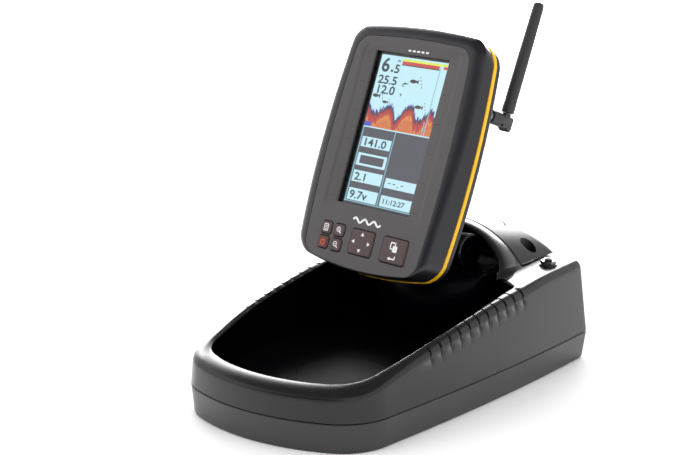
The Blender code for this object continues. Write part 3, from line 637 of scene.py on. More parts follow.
def vault_cover():
    """The rear cover, with two screw wells, a bow-shaped slot and room for the turret to swing."""
    steps = [(0, 3), (0, 0.6), (0.015, 0)]
    steps += [(f, 0) for f in (0.15, 0.3, 0.45, 0.6, 0.75, 0.9, 0.975)]
    steps += [(0.993, 0.35), (1, 1.1), (1, 20)]
    mesh = swept("vault_cover_skin", [cover_section(f, skin) for f, skin in steps])
    tools = []
    for side in (-1, 1):
        well = turned("well", [(6, 76.3), (6, 100)], 48)
        well.transform(shift(side * COVER_SCREW[0], COVER_SCREW[1]))
        tools.append(well)
    bow = [(-28.5, 121.4), (-24.5, 125.4), (-19, 128), (-12, 129.2), (0, 129.6), (12, 129.2),
           (19, 128), (24.5, 125.4), (28.5, 121.4)]
    tools += [plate("slot", [shape], 86, 110) for shape in stroke(bow, 1.3)]
    swing = [(34, 60)] + arc(0, BARREL_Z, BARREL_R - 3.2, 60, 120, 24) + [(-34, 60)]
    tools.append(swept("swing", [[(x, y, z) for x, z in swing] for y in (90, 113)]))
    on_base("vault_cover_skin", carved(mesh, tools), COVER_BLACK, ["vault_cover"], 38)


def cover_screws():
    for side, tag in ((1, "right"), (-1, "left")):
        head = turned("head", [(0.01, 76.7), (4.1, 76.7), (4.2, 77.6), (3.7, 78.5), (2.4, 79), (0.01, 79.1)], 32)
        cross = [plate("cross", [rectangle(-2.3, -0.5, 2.3, 0.5)], 77.9, 80),
                 plate("cross", [rectangle(-0.5, -2.3, 0.5, 2.3)], 77.9, 80)]
        mesh = carved(head, cross)
        mesh.transform(shift(side * COVER_SCREW[0], COVER_SCREW[1]))
        on_base(f"cover_screw_{tag}", mesh, DARK_STEEL, [f"vault_screw_{tag}"])


def deck_jack():
    """The deck socket: a threaded stem with a bore, a hexagonal nut with worn corners and a washer."""
    thread = [(0.01, 79), (2.7, 79)]
    z = 78.8
    while z > 74:
        thread += [(3.1, z), (2.75, z - 0.3)]
        z -= 0.6
    thread += [(3.1, 73.6), (0.01, 73.6)]
    stem = carved(turned("jack_stem", thread, 32), [turned("bore", [(1.9, 76), (1.9, 82)], 24)])
    hexagon = plate("jack_hex", [arc(0, 0, 5.9, 20, 320, 5)], 75, 77.4)
    dome = turned("dome", [(0.01, 74.9), (5.3, 74.9), (6.2, 75.7), (6.2, 76.8), (5.2, 77.5), (0.01, 77.5)], 48)
    nut = carved(carved(hexagon, [dome], 'INTERSECT'), [turned("bore", [(2.9, 70), (2.9, 82)], 32)])
    washer = turned("jack_washer", [(3.2, 74.9), (6.6, 74.9), (6.8, 74.7), (6.8, 74.2), (3.2, 74.2)], 40)
    for name, mesh, replaces, sharp in (("jack_stem", stem, ["deck_jack_body"], 50),
                                        ("jack_nut", nut, ["deck_jack_nut"], 34), ("jack_washer", washer, (), 34)):
        mesh.transform(shift(*JACK_PLACE))
        on_base(name, mesh, NICKEL, replaces, sharp)


def well_disc():
    """The round disc on the well's floor, with four notches in its ridge."""
    profile = [(0.01, 20.1), (27, 20.1), (27.8, 19.7), (28.6, 20.1), (31.6, 20.4), (33, 19.7), (35.4, 19.4),
               (36.5, 18.7), (36.5, 18.3), (0.01, 18.3)]
    disc = turned("well_disc_skin", profile, 96)
    tools = []
    for angle in (-128, -50, 52, 130):
        tool = plate("tab", [rectangle(28.5, -1.6, 32.5, 1.6)], 19.3, 22)
        tool.transform(Matrix.Rotation(radians(angle), 4, 'Z'))
        tools.append(tool)
    mesh = carved(disc, tools)
    mesh.transform(shift(*DISC_PLACE))
    # The disc takes the well's darker black: painted shade.
    on_base("well_disc_skin", mesh, WELL_PAINTED_SHADE, ["well_disc"])


# ---- turret ----

TURRET_FRAME = shift(0, PAN_Y) @ Matrix.Rotation(radians(PAN_REST), 4, 'Z')
TILT_FRAME = TURRET_FRAME @ shift(0, 0, TILT_Z) @ Matrix.Rotation(radians(-LEAN_REST), 4, 'X')
HANDSET = TILT_FRAME @ shift(0, -FACE_FORWARD, FACE_UP) @ Matrix.Rotation(pi / 2, 4, 'X')


def on_turret(name, mesh, replaces=()):
    # Turret pieces take the painted-shade black.
    return new_object(name, mesh, TURRET_PAINTED_SHADE, "turret_assembly", TURRET_FRAME, replaces)


def turret():
    """The turret's ball, cut flat above and below, with two cheeks that hold the tilt pin."""
    top, foot = 69, 22.6
    profile = [(0.01, top)]
    start = asin((top - TURRET_Z) / TURRET_R)
    end = asin((foot - TURRET_Z) / TURRET_R)
    for i in range(25):
        a = start + (end - start) * i / 24
        profile.append((TURRET_R * cos(a), TURRET_Z + TURRET_R * sin(a)))
    profile[1] = (profile[1][0] - 1, top)
    profile.append((0.01, foot))
    on_turret("turret_ball", turned("turret_ball", profile, 96), ["turret"])
    for side, tag in ((1, "right"), (-1, "left")):
        outline = arc(0, TILT_Z, CHEEK_R, -50, 230, 48) + [(-CHEEK_R + 1, 66), (CHEEK_R - 1, 66)]
        rows = []
        for x, shrink in ((15.3, 0), (24.4, 0), (25.2, 0.25), (25.7, 0.8), (25.9, 1.4), (25.9, 1.9), (25.3, 2.3)):
            size = 1 - shrink / CHEEK_R
            rows.append([(side * x, y * size, TILT_Z + (z - TILT_Z) * size) for y, z in outline])
        cheek = on_turret(f"turret_cheek_{tag}", swept("cheek", rows))
        # The cheek's bevel band keeps the plain base black; the rest of the cheek carries the painted shade.
        cheek.data.materials.append(BLACK)
        for face in cheek.data.polygons:
            x, y, z = face.center / MM
            if 24.6 < abs(x) < 25.85 and hypot(y, z - TILT_Z) > CHEEK_R - 1.6 and z > TILT_Z - 9:
                face.material_index = 1
        cap = turned("pin_cap", [(0.01, 25.9), (3.6, 25.9), (4, 25.7), (4, 24), (0.01, 24)], 32, 'X')
        cap.transform(shift(0, 0, TILT_Z) @ Matrix.Scale(side, 4, (1, 0, 0)))
        if side < 0:
            cap.flip_normals()
        on_turret(f"pin_cap_{tag}", cap)


def neck():
    """The tilt drum and the arm that flares to the handset's back."""
    drum = turned("drum", [(0.01, -14), (9.6, -14), (DRUM_R, -13.2), (DRUM_R, 13.2), (9.6, 14),
                           (0.01, 14)], 48, 'X')
    plane = -(FACE_FORWARD + BACK_Z) + 0.3
    profile = [(0.01, 0), (9.8, 0), (10.2, -12), (11.2, -26), (13.6, -36), (19.5, plane + 3.4),
               (20.6, plane + 2.6), (20.9, plane + 0.8), (20.6, plane), (0.01, plane)]
    shaft = turned("shaft", profile, 64, 'Y')
    mesh = carved(shaft, [drum], 'UNION')
    # The neck takes the turret's painted-shade black.
    new_object("neck", mesh, TURRET_PAINTED_SHADE, "handset", TILT_FRAME, ["neck_arm"], sharp=50)


# ---- handset ----

def warp(points):
    """Bows a rectangle's sides and ends to the handset's outline."""
    shaped = []
    for x, y in points:
        nx = x * (1 - 0.0007 * (y + 21) ** 2 / HALF_WIDTH)
        ny = y - 0.00075 * x * x * y / TOP_Y if y > 0 else y + 0.0016 * x * x * (-y / FOOT_Y) ** 2
        shaped.append((nx, ny))
    return shaped


def panel(left, right, bottom, top, low_radius, top_radius, steps=10, side=14):
    """A rectangle with round corners, clockwise from the middle of the top."""
    points = []
    middle = (left + right) / 2
    corners = ((right - top_radius, top - top_radius, top_radius, 90),
               (right - low_radius, bottom + low_radius, low_radius, 0),
               (left + low_radius, bottom + low_radius, low_radius, -90),
               (left + top_radius, top - top_radius, top_radius, -180))
    ends = [arc(cx, cy, r, start, start - 90, steps) for cx, cy, r, start in corners]
    start = (middle, top)
    for k, corner in enumerate(ends):
        ax, ay = points[-1] if points else start
        bx, by = corner[0]
        first = 0 if not points else 1
        for i in range(first, side):
            points.append((ax + (bx - ax) * i / side, ay + (by - ay) * i / side))
        points += corner
    ax, ay = points[-1]
    for i in range(1, side):
        points.append((ax + (middle - ax) * i / side, ay + (top - ay) * i / side))
    return points


def outline(side=0, top=0, foot=0, crease=0):
    """The handset's outline, moved inwards by different amounts at sides, top and foot.

    Where crease is 1 the top corners are tighter and the right side draws in towards the foot.
    """
    shrink = max(side, top)
    points = warp(panel(-HALF_WIDTH + side, HALF_WIDTH - side, -FOOT_Y + foot, TOP_Y - top,
                        max(4, 14 - 0.35 * shrink), max(6, 15 - 0.35 * shrink - 3.5 * crease)))
    pull = [crease * smooth_between(CREASE_PULL, y) * min(1, max(0, x / 50)) for x, y in points]
    return [(x - dx, y) for (x, y), dx in zip(points, pull)]


def even(inset, z):
    """The outline moved inwards by one amount all round, at height z."""
    return level(outline(inset, inset, inset), z)


def face_edge(gap, z):
    return level(outline(EDGE_SIDE + gap, EDGE_TOP + gap, EDGE_FOOT + gap), z)


def window_panel(grow, radius, steps=10, side=14):
    wx, wy = WINDOW_HALF
    return panel(-wx - grow, wx + grow, -wy - grow, wy + grow, radius, radius, steps, side)


# Piece, body, centre x and y, width and height of each key.
KEYS = (("key_list", "list_key", -36.6, -75.6, 9.8, 8.6), ("key_zoom_in", "zoom_in_key", -23.6, -75.6, 9.8, 8.6),
        ("key_power", "power_key", -36.6, -86.2, 9.8, 8.6), ("key_zoom_out", "zoom_out_key", -23.6, -86.2, 9.8, 8.6),
        ("key_nav_pad", "nav_pad", 0, -80.6, 22, 17.6),
        ("key_menu_rocker", "menu_rocker", 31.6, -80.6, 23, 17.6))
KEY_TOP = 0.9


def key_outline(x, y, width, height, inset, radius=1.8):
    return panel(x - width / 2 + inset, x + width / 2 - inset, y - height / 2 + inset, y + height / 2 - inset,
                 max(0.5, radius - inset), max(0.5, radius - inset), 5, 3)


def front_shell():
    """The front housing: a rolled edge from the crease to the face, with holes for window and keys."""
    rings = [even(inset, BAND_Z[1] + up) for inset, up in ((8, 0.3), (0.9, 0.3), (0.5, 0.4), (0.3, 0.8))]
    low = BAND_Z[1] + 0.8
    for f in (0.35, 0.7, 0.96):
        rings.append(level(outline(*[0.3 + (a - 0.3) * f for a in CREASE_INSETS], f), low + (CREASE_Z - low) * f))
    layers = 10
    for i in range(layers + 1):
        turn = CREASE_TURN * (1 - i / layers)
        share = 1 - sin(turn) / sin(CREASE_TURN)
        insets = [a + (b - a) * share for a, b in zip(CREASE_INSETS, (EDGE_SIDE, EDGE_TOP, EDGE_FOOT))]
        z = CREASE_Z * (1 - cos(turn)) / (1 - cos(CREASE_TURN))
        rings.append(level(outline(*insets, 1 - share), z))
    rings += [face_edge(0.05, z) for z in (-0.3, -1.6)]
    mesh = swept("front_housing", rings)
    tools = [swept("hole", [level(panel(-37, 37, -58, 58, 2, 2, 4, 3), z) for z in (-14, 4)])]
    for _, _, x, y, w, h in KEYS:
        tools.append(swept("hole", [level(key_outline(x, y, w, h, -0.45), z) for z in (-14, 4)]))
    on_handset("front_housing", carved(mesh, tools), SHELL_GREY, ["front_shell"], 28)


def face_plate():
    """The flat face, with a soft shallow recess around the window."""
    recess = (-46.6, 46.6, -59.8, 59.5)

    def around(grow, radius):
        return panel(recess[0] - grow, recess[1] + grow, recess[2] - grow, recess[3] + grow, radius, radius)

    inner, outer = around(1.6, 5.6), outline(EDGE_SIDE + 0.5, EDGE_TOP + 0.5, EDGE_FOOT + 0.5)
    rings = [level(window_panel(grow, radius), z)
             for grow, radius, z in ((0, 0.8, -2.6), (0, 0.8, -1.7), (0.3, 1, -1.25), (0.9, 1.4, -1))]
    for grow, radius, z in ((-2.2, 3, -0.95), (-1.2, 3.6, -0.8), (-0.3, 4.2, -0.45), (0.6, 4.8, -0.12),
                            (1.6, 5.6, 0)):
        rings.append(level(around(grow, radius), z))
    for t in (0.3, 0.6):
        rings.append([(a[0] + (b[0] - a[0]) * t, a[1] + (b[1] - a[1]) * t, 0) for a, b in zip(inner, outer)])
    rings += [face_edge(gap, z) for gap, z in ((0.45, 0), (0.25, -0.2), (0.25, -1.5))]
    rings.append(level(window_panel(4, 2), -1.9))
    mesh = swept("face_panel", rings, loop=True)
    tools = []
    for _, _, x, y, w, h in KEYS:
        tools.append(swept("hole", [level(key_outline(x, y, w, h, inset), z)
                                    for inset, z in ((-0.55, -4), (-0.55, -0.35), (-0.95, 0.25))]))
    on_handset("face_panel", carved(mesh, tools), FACE_GREY, ["face_plate"], 30)
    ticks = []
    for side in (-1, 1):
        for i in range(6):
            y = 52.7 - 21 * i
            ticks.append(rectangle(side * 40.4 - 2.3, y - 0.16, side * 40.4 + 2.3, y + 0.16))
    on_handset("scale_ticks", plate("ticks", ticks, -1, -0.93), INK_DARK)


def badges():
    """Plain marks on the face: a ripple below the screen and a row of dashes above it."""
    wave = [(-13.5 + 27 * i / 40, -65.6 + 1.5 * sin(2 * pi * 3 * i / 40)) for i in range(41)]
    shapes = stroke(wave, 1.5)
    on_handset("ripple_mark", plate("ripple", shapes, -0.05, 0.1), INK_WHITE)
    bars = []
    for i in range(5):
        x = -4 + 4.2 * i
        bars.append([(x, 57.6), (x + 2.4, 57.6), (x + 3, 60), (x + 0.6, 60)])
    on_handset("dash_mark", plate("dashes", bars, -0.95, -0.6), INK_WHITE)


def seal_and_back():
    """The yellow seal, and the rear housing with its chamfer, screw holes, step and ribs."""
    z0, z1 = BAND_Z
    rings = [even(inset, z) for inset, z in ((4, z0), (0.3, z0), (0, z0 + 0.4), (-0.1, (z0 + z1) / 2),
                                             (0, z1 - 0.4), (0.3, z1), (4, z1))]
    on_handset("seal_ring", swept("seal_ring", rings, loop=True), YELLOW, ["seal_band"])
    rings = [even(7, z0 - 0.3), even(0.8, z0 - 0.3), even(0.4, z0 - 0.7)]
    deep = 0.6 + CHAMFER_SLOPE * (CHAMFER_Z - BACK_Z)
    for inset, z in ((0.6, CHAMFER_Z + 0.8), (0.75, CHAMFER_Z), (1.3, CHAMFER_Z - 0.75), (deep * 0.5, None),
                     (deep - 1, None), (deep - 0.1, BACK_Z + 0.6), (deep + 0.9, BACK_Z + 0.15), (deep + 2, BACK_Z)):
        z = CHAMFER_Z - (inset - 0.6) / CHAMFER_SLOPE if z is None else z
        rings.append(even(inset, z))
    mesh = swept("back_housing", rings)
    tools = []
    for x, y in HANDSET_SCREWS:
        hole = turned("hole", [(3.2, -45), (3.2, BACK_Z + 7)], 28)
        hole.transform(shift(x, y))
        tools.append(hole)
    tools.append(swept("step", [level(panel(-44, 44, -36, 44, 6, 6, 6, 4), z) for z in (-45, -37.5)]))
    for i in range(7):
        y = 34 - 8 * i
        tools.append(swept("rib", [level(panel(-34, 34, y - 0.9, y + 0.9, 0.8, 0.8, 4, 3), z)
                                   for z in (-45, -36.9)]))
    on_handset("back_housing", carved(mesh, tools), BACK_BLACK, ["back_shell"], 32)


def window():
    """The clear window, the dark glass of the display below it and the wall around the opening."""
    rings = [level(window_panel(1, 1, 4, 3), z) for z in (-4.7, -4)]
    on_handset("window_glass", swept("window_glass", rings), WINDOW, ["window_lens"], 20)
    mask = plate("display", [rectangle(-38, -60, 38, 60)], -9.6, LCD_Z - 0.3)
    on_handset("display_glass", mask, MASK_BLACK, ["lcd_module"])
    wall = [level(window_panel(g, 0.8, 4, 3), z) for g, z in ((0, -2.5), (0, -4.9), (1.4, -4.9), (1.4, -2.5))]
    on_handset("window_wall", swept("window_wall", wall, loop=True), MASK_BLACK)


# ---- display picture ----

def screen_xy(u, v):
    """Handset x and y for a place on the display, u to the right and v down, both 0 to 1."""
    return (2 * u - 1) * LCD_HALF[0], (1 - 2 * v) * LCD_HALF[1]


def screen_box(u0, v0, u1, v1):
    x0, y0 = screen_xy(u0, v0)
    x1, y1 = screen_xy(u1, v1)
    return rectangle(x0, y1, x1, y0)


def layer_z(layer):
    """Height of a printed layer of the picture, counted up from the display's surface."""
    return LCD_Z - 0.28 + 0.05 * layer


def lit(name, shapes, mat, layer):
    z = layer_z(layer)
    on_handset(name, plate(name, shapes, z - 0.03, z), mat)


def lit_boxes(name, mat, layer, *boxes):
    lit(name, [screen_box(*box) for box in boxes], mat, layer)


def digits(name, text, u, v, height, stretch):
    """A line of figures whose top left corner is at u, v; height is a share of the display's height."""
    curve = bpy.data.curves.new(name, 'FONT')
    curve.body = text
    curve.size = height * 2 * LCD_HALF[1] * MM / 0.7
    curve.extrude = 0.00001
    curve.offset = curve.size * 0.022
    curve.resolution_u = 3
    ob = placed(name, curve)
    bpy.context.view_layer.update()
    mesh = evaluated_mesh(ob)
    bpy.data.objects.remove(ob, do_unlink=True)
    mesh.transform(shift(*screen_xy(u, v + height), layer_z(4)) @ Matrix.Diagonal((stretch, 1, 1, 1)))
    on_handset(name, mesh, LIT_INK)


def bottom_line(u):
    """Depth of the lake bed across the sonar picture, as a share of the display's height."""
    humps = ((0.00, 0.335), (0.06, 0.375), (0.12, 0.385), (0.2, 0.365), (0.27, 0.335), (0.33, 0.325),
             (0.38, 0.345), (0.43, 0.415), (0.49, 0.375), (0.55, 0.325), (0.62, 0.295), (0.67, 0.32),
             (0.73, 0.375), (0.8, 0.385), (0.86, 0.355), (0.92, 0.315), (1, 0.36))
    return smooth_between(humps, u)


def bed_colour(u, v, deep, speckle):
    """The echo's colour: blue crest, dark band, then red that warms to orange along a ridge."""
    if u < 0.1 and v > 0.455:
        return 0.05, 0.08, 0.5
    if deep < 0.01:
        return 0.03, 0.05, 0.45
    if deep < 0.034 + 0.006 * speckle * 0.4:
        return 0.055, 0.035, 0.05
    crest = 0.5 + 0.5 * cos(2 * pi * (u - 0.63) / 0.36)
    heat = deep / (0.17 - 0.05 * crest) + 0.05 * speckle
    warm = min(max((heat - 0.45) / 0.5, 0), 1)
    ridge = max(0, 1 - abs(deep - 0.085 - 0.02 * (1 - crest)) / 0.022)
    warm = max(0, min(1, 0.36 * warm + 0.8 * ridge * (0.6 + 0.2 * speckle)))
    return 0.5 + 0.42 * warm, 0.03 + 0.4 * warm, 0.028 + 0.03 * warm


def sonar_picture():
    """A fine grid with one colour for each cell's depth below the lake bed."""
    columns, rows = 150, 84
    low, high = 0.27, 0.487
    rng = np.random.default_rng(7)
    jag = rng.normal(0, 0.006, columns)
    jag += np.repeat(rng.normal(0, 0.007, columns // 2), 2)
    speckle = rng.normal(0, 1, (rows, columns))
    bm = bmesh.new()
    paint = bm.loops.layers.float_color.new("depth_colour")
    for i in range(columns):
        u0, u1 = i / columns, (i + 1) / columns
        u = (u0 + u1) / 2
        bed = bottom_line(u) + jag[i]
        for j in range(rows):
            v0 = low + (high - low) * j / rows
            v1 = low + (high - low) * (j + 1) / rows
            v = (v0 + v1) / 2
            if v < bed:
                continue
            verts = [bm.verts.new(Vector(p) * MM) for p in level(screen_box(u0, v0, u1, v1), layer_z(1))]
            for loop in bm.faces.new([verts[k] for k in (3, 0, 1, 2)]).loops:
                loop[paint] = (*bed_colour(u, v, v - bed, speckle[j, i]), 1)
    mat, shader, add, link = new_material("lit_sonar")
    sockets(shader, Base_Color=DIM, Emission_Strength=1)
    source = add("VertexColor")
    source.layer_name = "depth_colour"
    link(source, "Color", shader, "Emission Color")
    on_handset("sonar_bed", to_mesh(bm, "sonar_bed"), mat)


def fish(u, v, size):
    """A small fish-shaped echo with a speckle of dots behind it."""
    x, y = screen_xy(u, v)
    body = [(x + size * cos(a), y + 0.42 * size * sin(a)) for a in np.linspace(0, 2 * pi, 14)[:-1]]
    tail = [(x + size * 0.7, y), (x + size * 1.5, y + 0.5 * size), (x + size * 1.5, y - 0.5 * size)]
    specks = [rectangle(x + size * (1.7 + 0.3 * k), y + size * (0.9 - 0.7 * k), x + size * (1.9 + 0.3 * k),
                        y + size * (1.2 - 0.7 * k)) for k in range(4)]
    return [body, tail] + specks


# Piece, text, u and v of the top left corner, height and stretch of each figure.
FIGURES = (("figure_depth", "6", 0.035, 0.02, 0.092, 1.15),
           ("figure_depth_part", "5", 0.235, 0.056, 0.056, 1.3),
           ("figure_unit", "m", 0.255, 0.018, 0.02, 1.3),
           ("figure_warmth", "25.5", 0.035, 0.138, 0.055, 1.3),
           ("figure_degree", "c", 0.41, 0.165, 0.028, 1.2),
           ("figure_volt", "12.0", 0.035, 0.204, 0.055, 1.3),
           ("figure_volt_unit", "v", 0.41, 0.232, 0.026, 1.2),
           ("figure_course", "141.0", 0.055, 0.566, 0.05, 1.35),
           ("figure_speed", "2.1", 0.06, 0.8, 0.05, 1.35),
           ("figure_supply", "9.7v", 0.055, 0.92, 0.052, 1.3),
           ("figure_clock", "11:12:27", 0.555, 0.932, 0.033, 1.25))


def display():
    """The picture: sonar above, boxes with figures below. Boxes are u, v of two corners."""
    lit_boxes("lit_upper", LIT_PALE, 0, (0, 0, 1, 0.487))
    lit_boxes("lit_lower", LIT_GREY, 0, (0, 0.487, 1, 1))
    sonar_picture()
    lit_boxes("lit_divider", LIT_PALE, 2, (0, 0.487, 1, 0.495))
    lit_boxes("range_lime", LIT_LIME, 2, (0.33, 0.012, 1, 0.028))
    lit_boxes("range_red", LIT_RED, 2, (0.33, 0.028, 0.88, 0.05), (0.94, 0.028, 1, 0.046))
    lit_boxes("range_edge", LIT_DARK, 2, (0.33, 0.05, 0.9, 0.056))
    lit_boxes("cursor_line", LIT_LINE, 4, (0.893, 0.03, 0.905, 0.487), (0.862, 0.4, 0.875, 0.487))
    lit_boxes("lit_frames", LIT_LINE, 2, (0, 0.495, 0.015, 1), (0, 0.99, 1, 0.996), (0.492, 0.495, 0.504, 0.99))
    lit_boxes("lit_boxes", LIT_PALE, 2, (0.03, 0.557, 0.475, 0.626), (0.03, 0.668, 0.475, 0.752),
              (0.03, 0.785, 0.475, 0.862), (0.03, 0.905, 0.475, 0.985), (0.53, 0.797, 0.985, 0.862),
              (0.53, 0.912, 0.985, 0.985))
    bar = (0.08, 0.685, 0.43, 0.735)
    lit_boxes("level_bar", LIT_GREY, 3, bar)
    lit("level_edge", stroke(screen_box(*bar), 0.5, True), LIT_INK, 4)
    for figure in FIGURES:
        digits(*figure)
    lit_boxes("figure_dashes", LIT_INK, 4, (0.58, 0.826, 0.62, 0.832), (0.65, 0.826, 0.69, 0.832),
              (0.72, 0.84, 0.735, 0.848), (0.77, 0.826, 0.81, 0.832), (0.19, 0.094, 0.222, 0.11))
    shapes = []
    for u, v, size in ((0.56, 0.15, 3.3), (0.45, 0.172, 1.5), (0.06, 0.278, 3), (0.22, 0.312, 2.2),
                       (0.72, 0.31, 3)):
        shapes += fish(u, v, size)
    lit("fish_echoes", shapes, LIT_DARK, 4)


# ---- keys ----

def triangle(x, y, size, angle):
    return [(x + size * cos(radians(angle + k * 120)), y + size * sin(radians(angle + k * 120))) for k in range(3)]


def ring_stroke(x, y, radius, width, start=0, end=360):
    return stroke(arc(x, y, radius, start, end, 24), width)


def key_icons(name, x, y):
    """Printed symbols for a key, with their ink."""
    if name == "key_list":
        sheet = stroke(rectangle(x - 1.9, y - 2.3, x + 1.9, y + 2.3), 0.6, True)
        sheet += [rectangle(x - 1.1, y + d - 0.22, x + 1.1, y + d + 0.22) for d in (-1.1, 0, 1.1)]
        return sheet, INK_WHITE
    if name in ("key_zoom_in", "key_zoom_out"):
        glass = ring_stroke(x - 0.4, y + 0.5, 1.6, 0.6) + stroke([(x + 0.8, y - 0.7), (x + 2.2, y - 2.1)], 0.8)
        glass += stroke([(x - 1.1, y + 0.5), (x + 0.3, y + 0.5)], 0.4)
        if name == "key_zoom_in":
            glass += stroke([(x - 0.4, y - 0.2), (x - 0.4, y + 1.2)], 0.4)
        return glass, INK_WHITE
    if name == "key_power":
        return ring_stroke(x, y, 1.9, 0.7, 125, 415) + stroke([(x, y + 0.2), (x, y + 2.4)], 0.7), INK_RED
    if name == "key_nav_pad":
        arrows = [triangle(x, y + 5.6, 1.7, 90), triangle(x, y - 5.6, 1.7, -90)]
        arrows += [triangle(x - 7.2, y, 1.7, 180), triangle(x + 7.2, y, 1.7, 0)]
        return arrows, INK_WHITE
    pages = stroke(rectangle(x - 3.2, y + 1.2, x + 1, y + 5.6), 0.9, True)
    pages += [rectangle(x - 0.9, y - 0.8, x + 3.3, y + 3.6)]
    pages += stroke([(x + 2.8, y - 3.4), (x + 2.8, y - 5.6), (x - 1.6, y - 5.6)], 0.9)
    pages += [triangle(x - 2.2, y - 5.6, 1.5, 180)]
    return pages, INK_WHITE


def keys():
    for name, body, x, y, w, h in KEYS:
        rings = [level(key_outline(x, y, w, h, inset), z)
                 for inset, z in ((0, -4), (0, KEY_TOP - 0.9), (0.15, KEY_TOP - 0.45), (0.5, KEY_TOP - 0.15),
                                  (1.1, KEY_TOP - 0.03), (2, KEY_TOP))]
        mat = KEY_RED if name == "key_power" else KEY_BROWN
        new_object(name + "_cap", swept(name, rings), mat, body, HANDSET, [name])
        shapes, ink = key_icons(name, x, y)
        mark = plate(name, shapes, KEY_TOP - 0.05, KEY_TOP + 0.04)
        new_object(name + "_mark", mark, ink, body, HANDSET)


# ---- antenna ----

def antenna():
    """The ribbed sleeve with its forked knuckle, and the tapered whip with the tongue it folds on."""
    place = HANDSET @ shift(*ANTENNA, HINGE_Z) @ Matrix.Rotation(ANTENNA_TURN, 4, 'Z')
    sleeve = [(0.01, 17.6), (4, 17.6), (4.9, 16.9), (4.95, 12), (4.95, 8), (4.7, 5.6), (4.4, 3), (0.01, 2)]
    body = turned("elbow_sleeve", sleeve, 40)
    grooves = []
    for i in range(18):
        a = 2 * pi * i / 18
        groove = plate("groove", [rectangle(-0.25, -0.25, 0.25, 0.25)], 9, 16)
        groove.transform(shift(5 * cos(a), 5 * sin(a)))
        grooves.append(groove)
    knuckle_rows = []
    for kx, shrink in ((-4.3, 0.5), (-3.9, 0), (3.9, 0), (4.3, 0.5)):
        outline_yz = [(3.7 - shrink, 5.6), (3.7 - shrink, -2.8), (2.6 - shrink, -4.2 + shrink),
                      (-5.2, -4.2 + shrink), (-6.6 + shrink, -3), (-6.6 + shrink, -1.4), (-4.6, 1.2),
                      (-4.4, 5.6)]
        knuckle_rows.append([(kx, ky, kz) for ky, kz in outline_yz])
    knuckle = swept("knuckle", knuckle_rows)
    slot = plate("slot", [rectangle(-1.75, -5.2, 1.75, 9)], -9, 3.6)
    mesh = carved(carved(body, [knuckle], 'UNION'), [slot] + grooves)
    new_object("antenna_elbow_skin", mesh, ANTENNA_BLACK, "antenna_elbow", place, ["antenna_sleeve"],
               40)
    profile = [(0.01, 6.3), (3.9, 6.3), (4.5, 6.8), (4.65, 9), (4.65, 13), (4.5, 13.6), (4.45, 30),
               (4.1, WHIP_TIP - 12), (3.95, WHIP_TIP - 2.6), (3.5, WHIP_TIP - 1.1), (2.4, WHIP_TIP - 0.3),
               (0.01, WHIP_TIP)]
    whip = turned("whip", profile, 40, 'Y')
    side = arc(0, 0, 2.9, 90, 270, 16) + [(6, -2.9), (6, 2.9)]
    tongue = swept("tongue", [[(tx, ty, tz) for ty, tz in side] for tx in (-1.5, 1.5)])
    new_object("antenna_whip_skin", carved(whip, [tongue], 'UNION'), ANTENNA_BLACK, "antenna_rod", place,
               ["antenna_whip"], sharp=40)


# ---- pieces kept from the frame ----

def dress_frame_nodes():
    """Materials for the frame's nodes that stay visible; a node not named here is steel."""
    looks = {"battery_pack": WRAP, "power_board": BOARD, "main_board": BOARD, "keypad_mat": MAT_RUBBER,
             "buzzer": MAT_RUBBER, "turret_washer": NYLON, "tilt_washer_left": NYLON, "tilt_washer_right": NYLON,
             "antenna_jack": NICKEL}
    for name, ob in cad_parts.items():
        if not ob.hide_render:
            ob.data.materials.clear()
            ob.data.materials.append(RUBBER if name.startswith("foot_") else looks.get(name, STEEL))


# ---- stage ----

def area_light(name, place, aim, size, power, glossy=True):
    data = bpy.data.lights.new(name, 'AREA')
    data.shape = 'RECTANGLE'
    data.size, data.size_y = size
    data.energy = power
    ob = placed(name, data)
    ob.location = place
    ob.rotation_euler = (Vector(place) - Vector(aim)).to_track_quat('Z', 'Y').to_euler()
    ob.visible_camera = False
    ob.visible_glossy = glossy


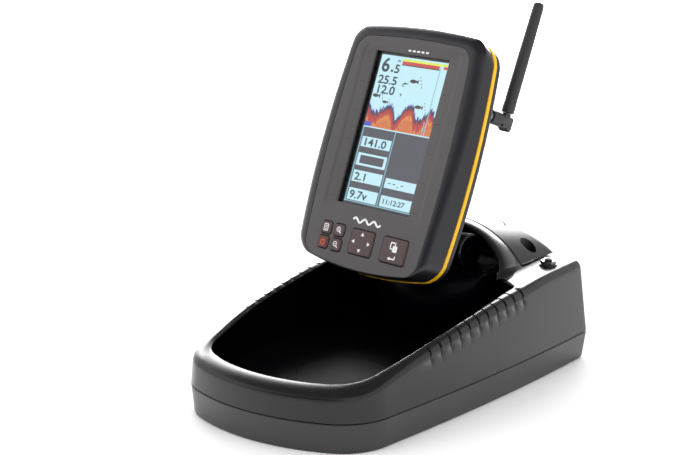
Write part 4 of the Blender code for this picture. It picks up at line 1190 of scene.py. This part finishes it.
def studio():
    """Background light that fades towards the viewer's left and overhead, a pale floor and three panels."""
    world = bpy.data.worlds.new("studio")
    world.use_nodes = True
    nodes, links = world.node_tree.nodes, world.node_tree.links
    place, parts, both = (nodes.new("ShaderNode" + kind) for kind in ("TexCoord", "SeparateXYZ", "Math"))
    both.operation = 'MULTIPLY'
    links.new(place.outputs["Generated"], parts.inputs["Vector"])
    for i, (side, start, end, low, high) in enumerate((("Y", -0.97, -0.64, 0, 1), ("Z", 0.56, 0.74, 1, 0.1))):
        fade = nodes.new("ShaderNodeMapRange")
        sockets(fade, From_Min=start, From_Max=end, To_Min=low, To_Max=high)
        links.new(parts.outputs[side], fade.inputs["Value"])
        links.new(fade.outputs["Result"], both.inputs[i])
    links.new(both.outputs["Value"], nodes["Background"].inputs["Color"])
    bpy.context.scene.world = world
    bpy.context.scene.view_settings.view_transform = 'Standard'
    bm = bmesh.new()
    bmesh.ops.create_circle(bm, cap_ends=True, segments=64, radius=6)
    bmesh.ops.translate(bm, vec=(0, 0, -0.0002), verts=bm.verts)
    mesh = to_mesh(bm, "studio_floor")
    floor = placed("studio_floor", mesh)
    mesh.materials.append(grained("studio_floor", (0.93, 0.93, 0.93), 0.9, grain=200, depth=0, blotch=0.01))
    area_light("back_panel", (-1.4, 1.9, 0.75), (0, 0, 0.1), (2.6, 1.5), 108)
    area_light("top_panel", (0.1, -0.2, 1.7), (0, 0, 0), (2.4, 2.4), 34, glossy=False)
    area_light("front_panel", (-0.9, -1.6, 1), (0, 0, 0.15), (1, 1), 8, glossy=False)


def camera():
    """The camera looks at the base's origin from the right and a little above, then is trimmed."""
    azimuth, elevation = radians(35.43), radians(19.16)
    back = Vector((sin(azimuth) * cos(elevation), -cos(azimuth) * cos(elevation), sin(elevation)))
    right = Vector((0, 0, 1)).cross(back).normalized()
    up = back.cross(right)
    turn = Matrix((right, up, back))
    roll, pitch, yaw = (Matrix.Rotation(radians(angle), 3, axis)
                        for angle, axis in ((-0.46, 'Z'), (-5.26, 'X'), (-0.99, 'Y')))
    turn = (roll @ pitch @ yaw @ turn).transposed()
    data = bpy.data.cameras.new("camera")
    data.lens = 86.634
    data.sensor_width = 36
    data.clip_start = 0.05
    data.clip_end = 50
    ob = placed("camera", data)
    ob.matrix_world = Matrix.Translation((0.65509, -0.92081, 0.3927)) @ turn.to_4x4()
    bpy.context.scene.camera = ob


for step in (camera, studio, upper_shell, lower_tray, arch, vault_cover, cover_screws, deck_jack, well_disc, turret,
             neck, front_shell, face_plate, badges, seal_and_back, window, display, keys, antenna,
             dress_frame_nodes):
    step()

bpy.context.view_layer.update()
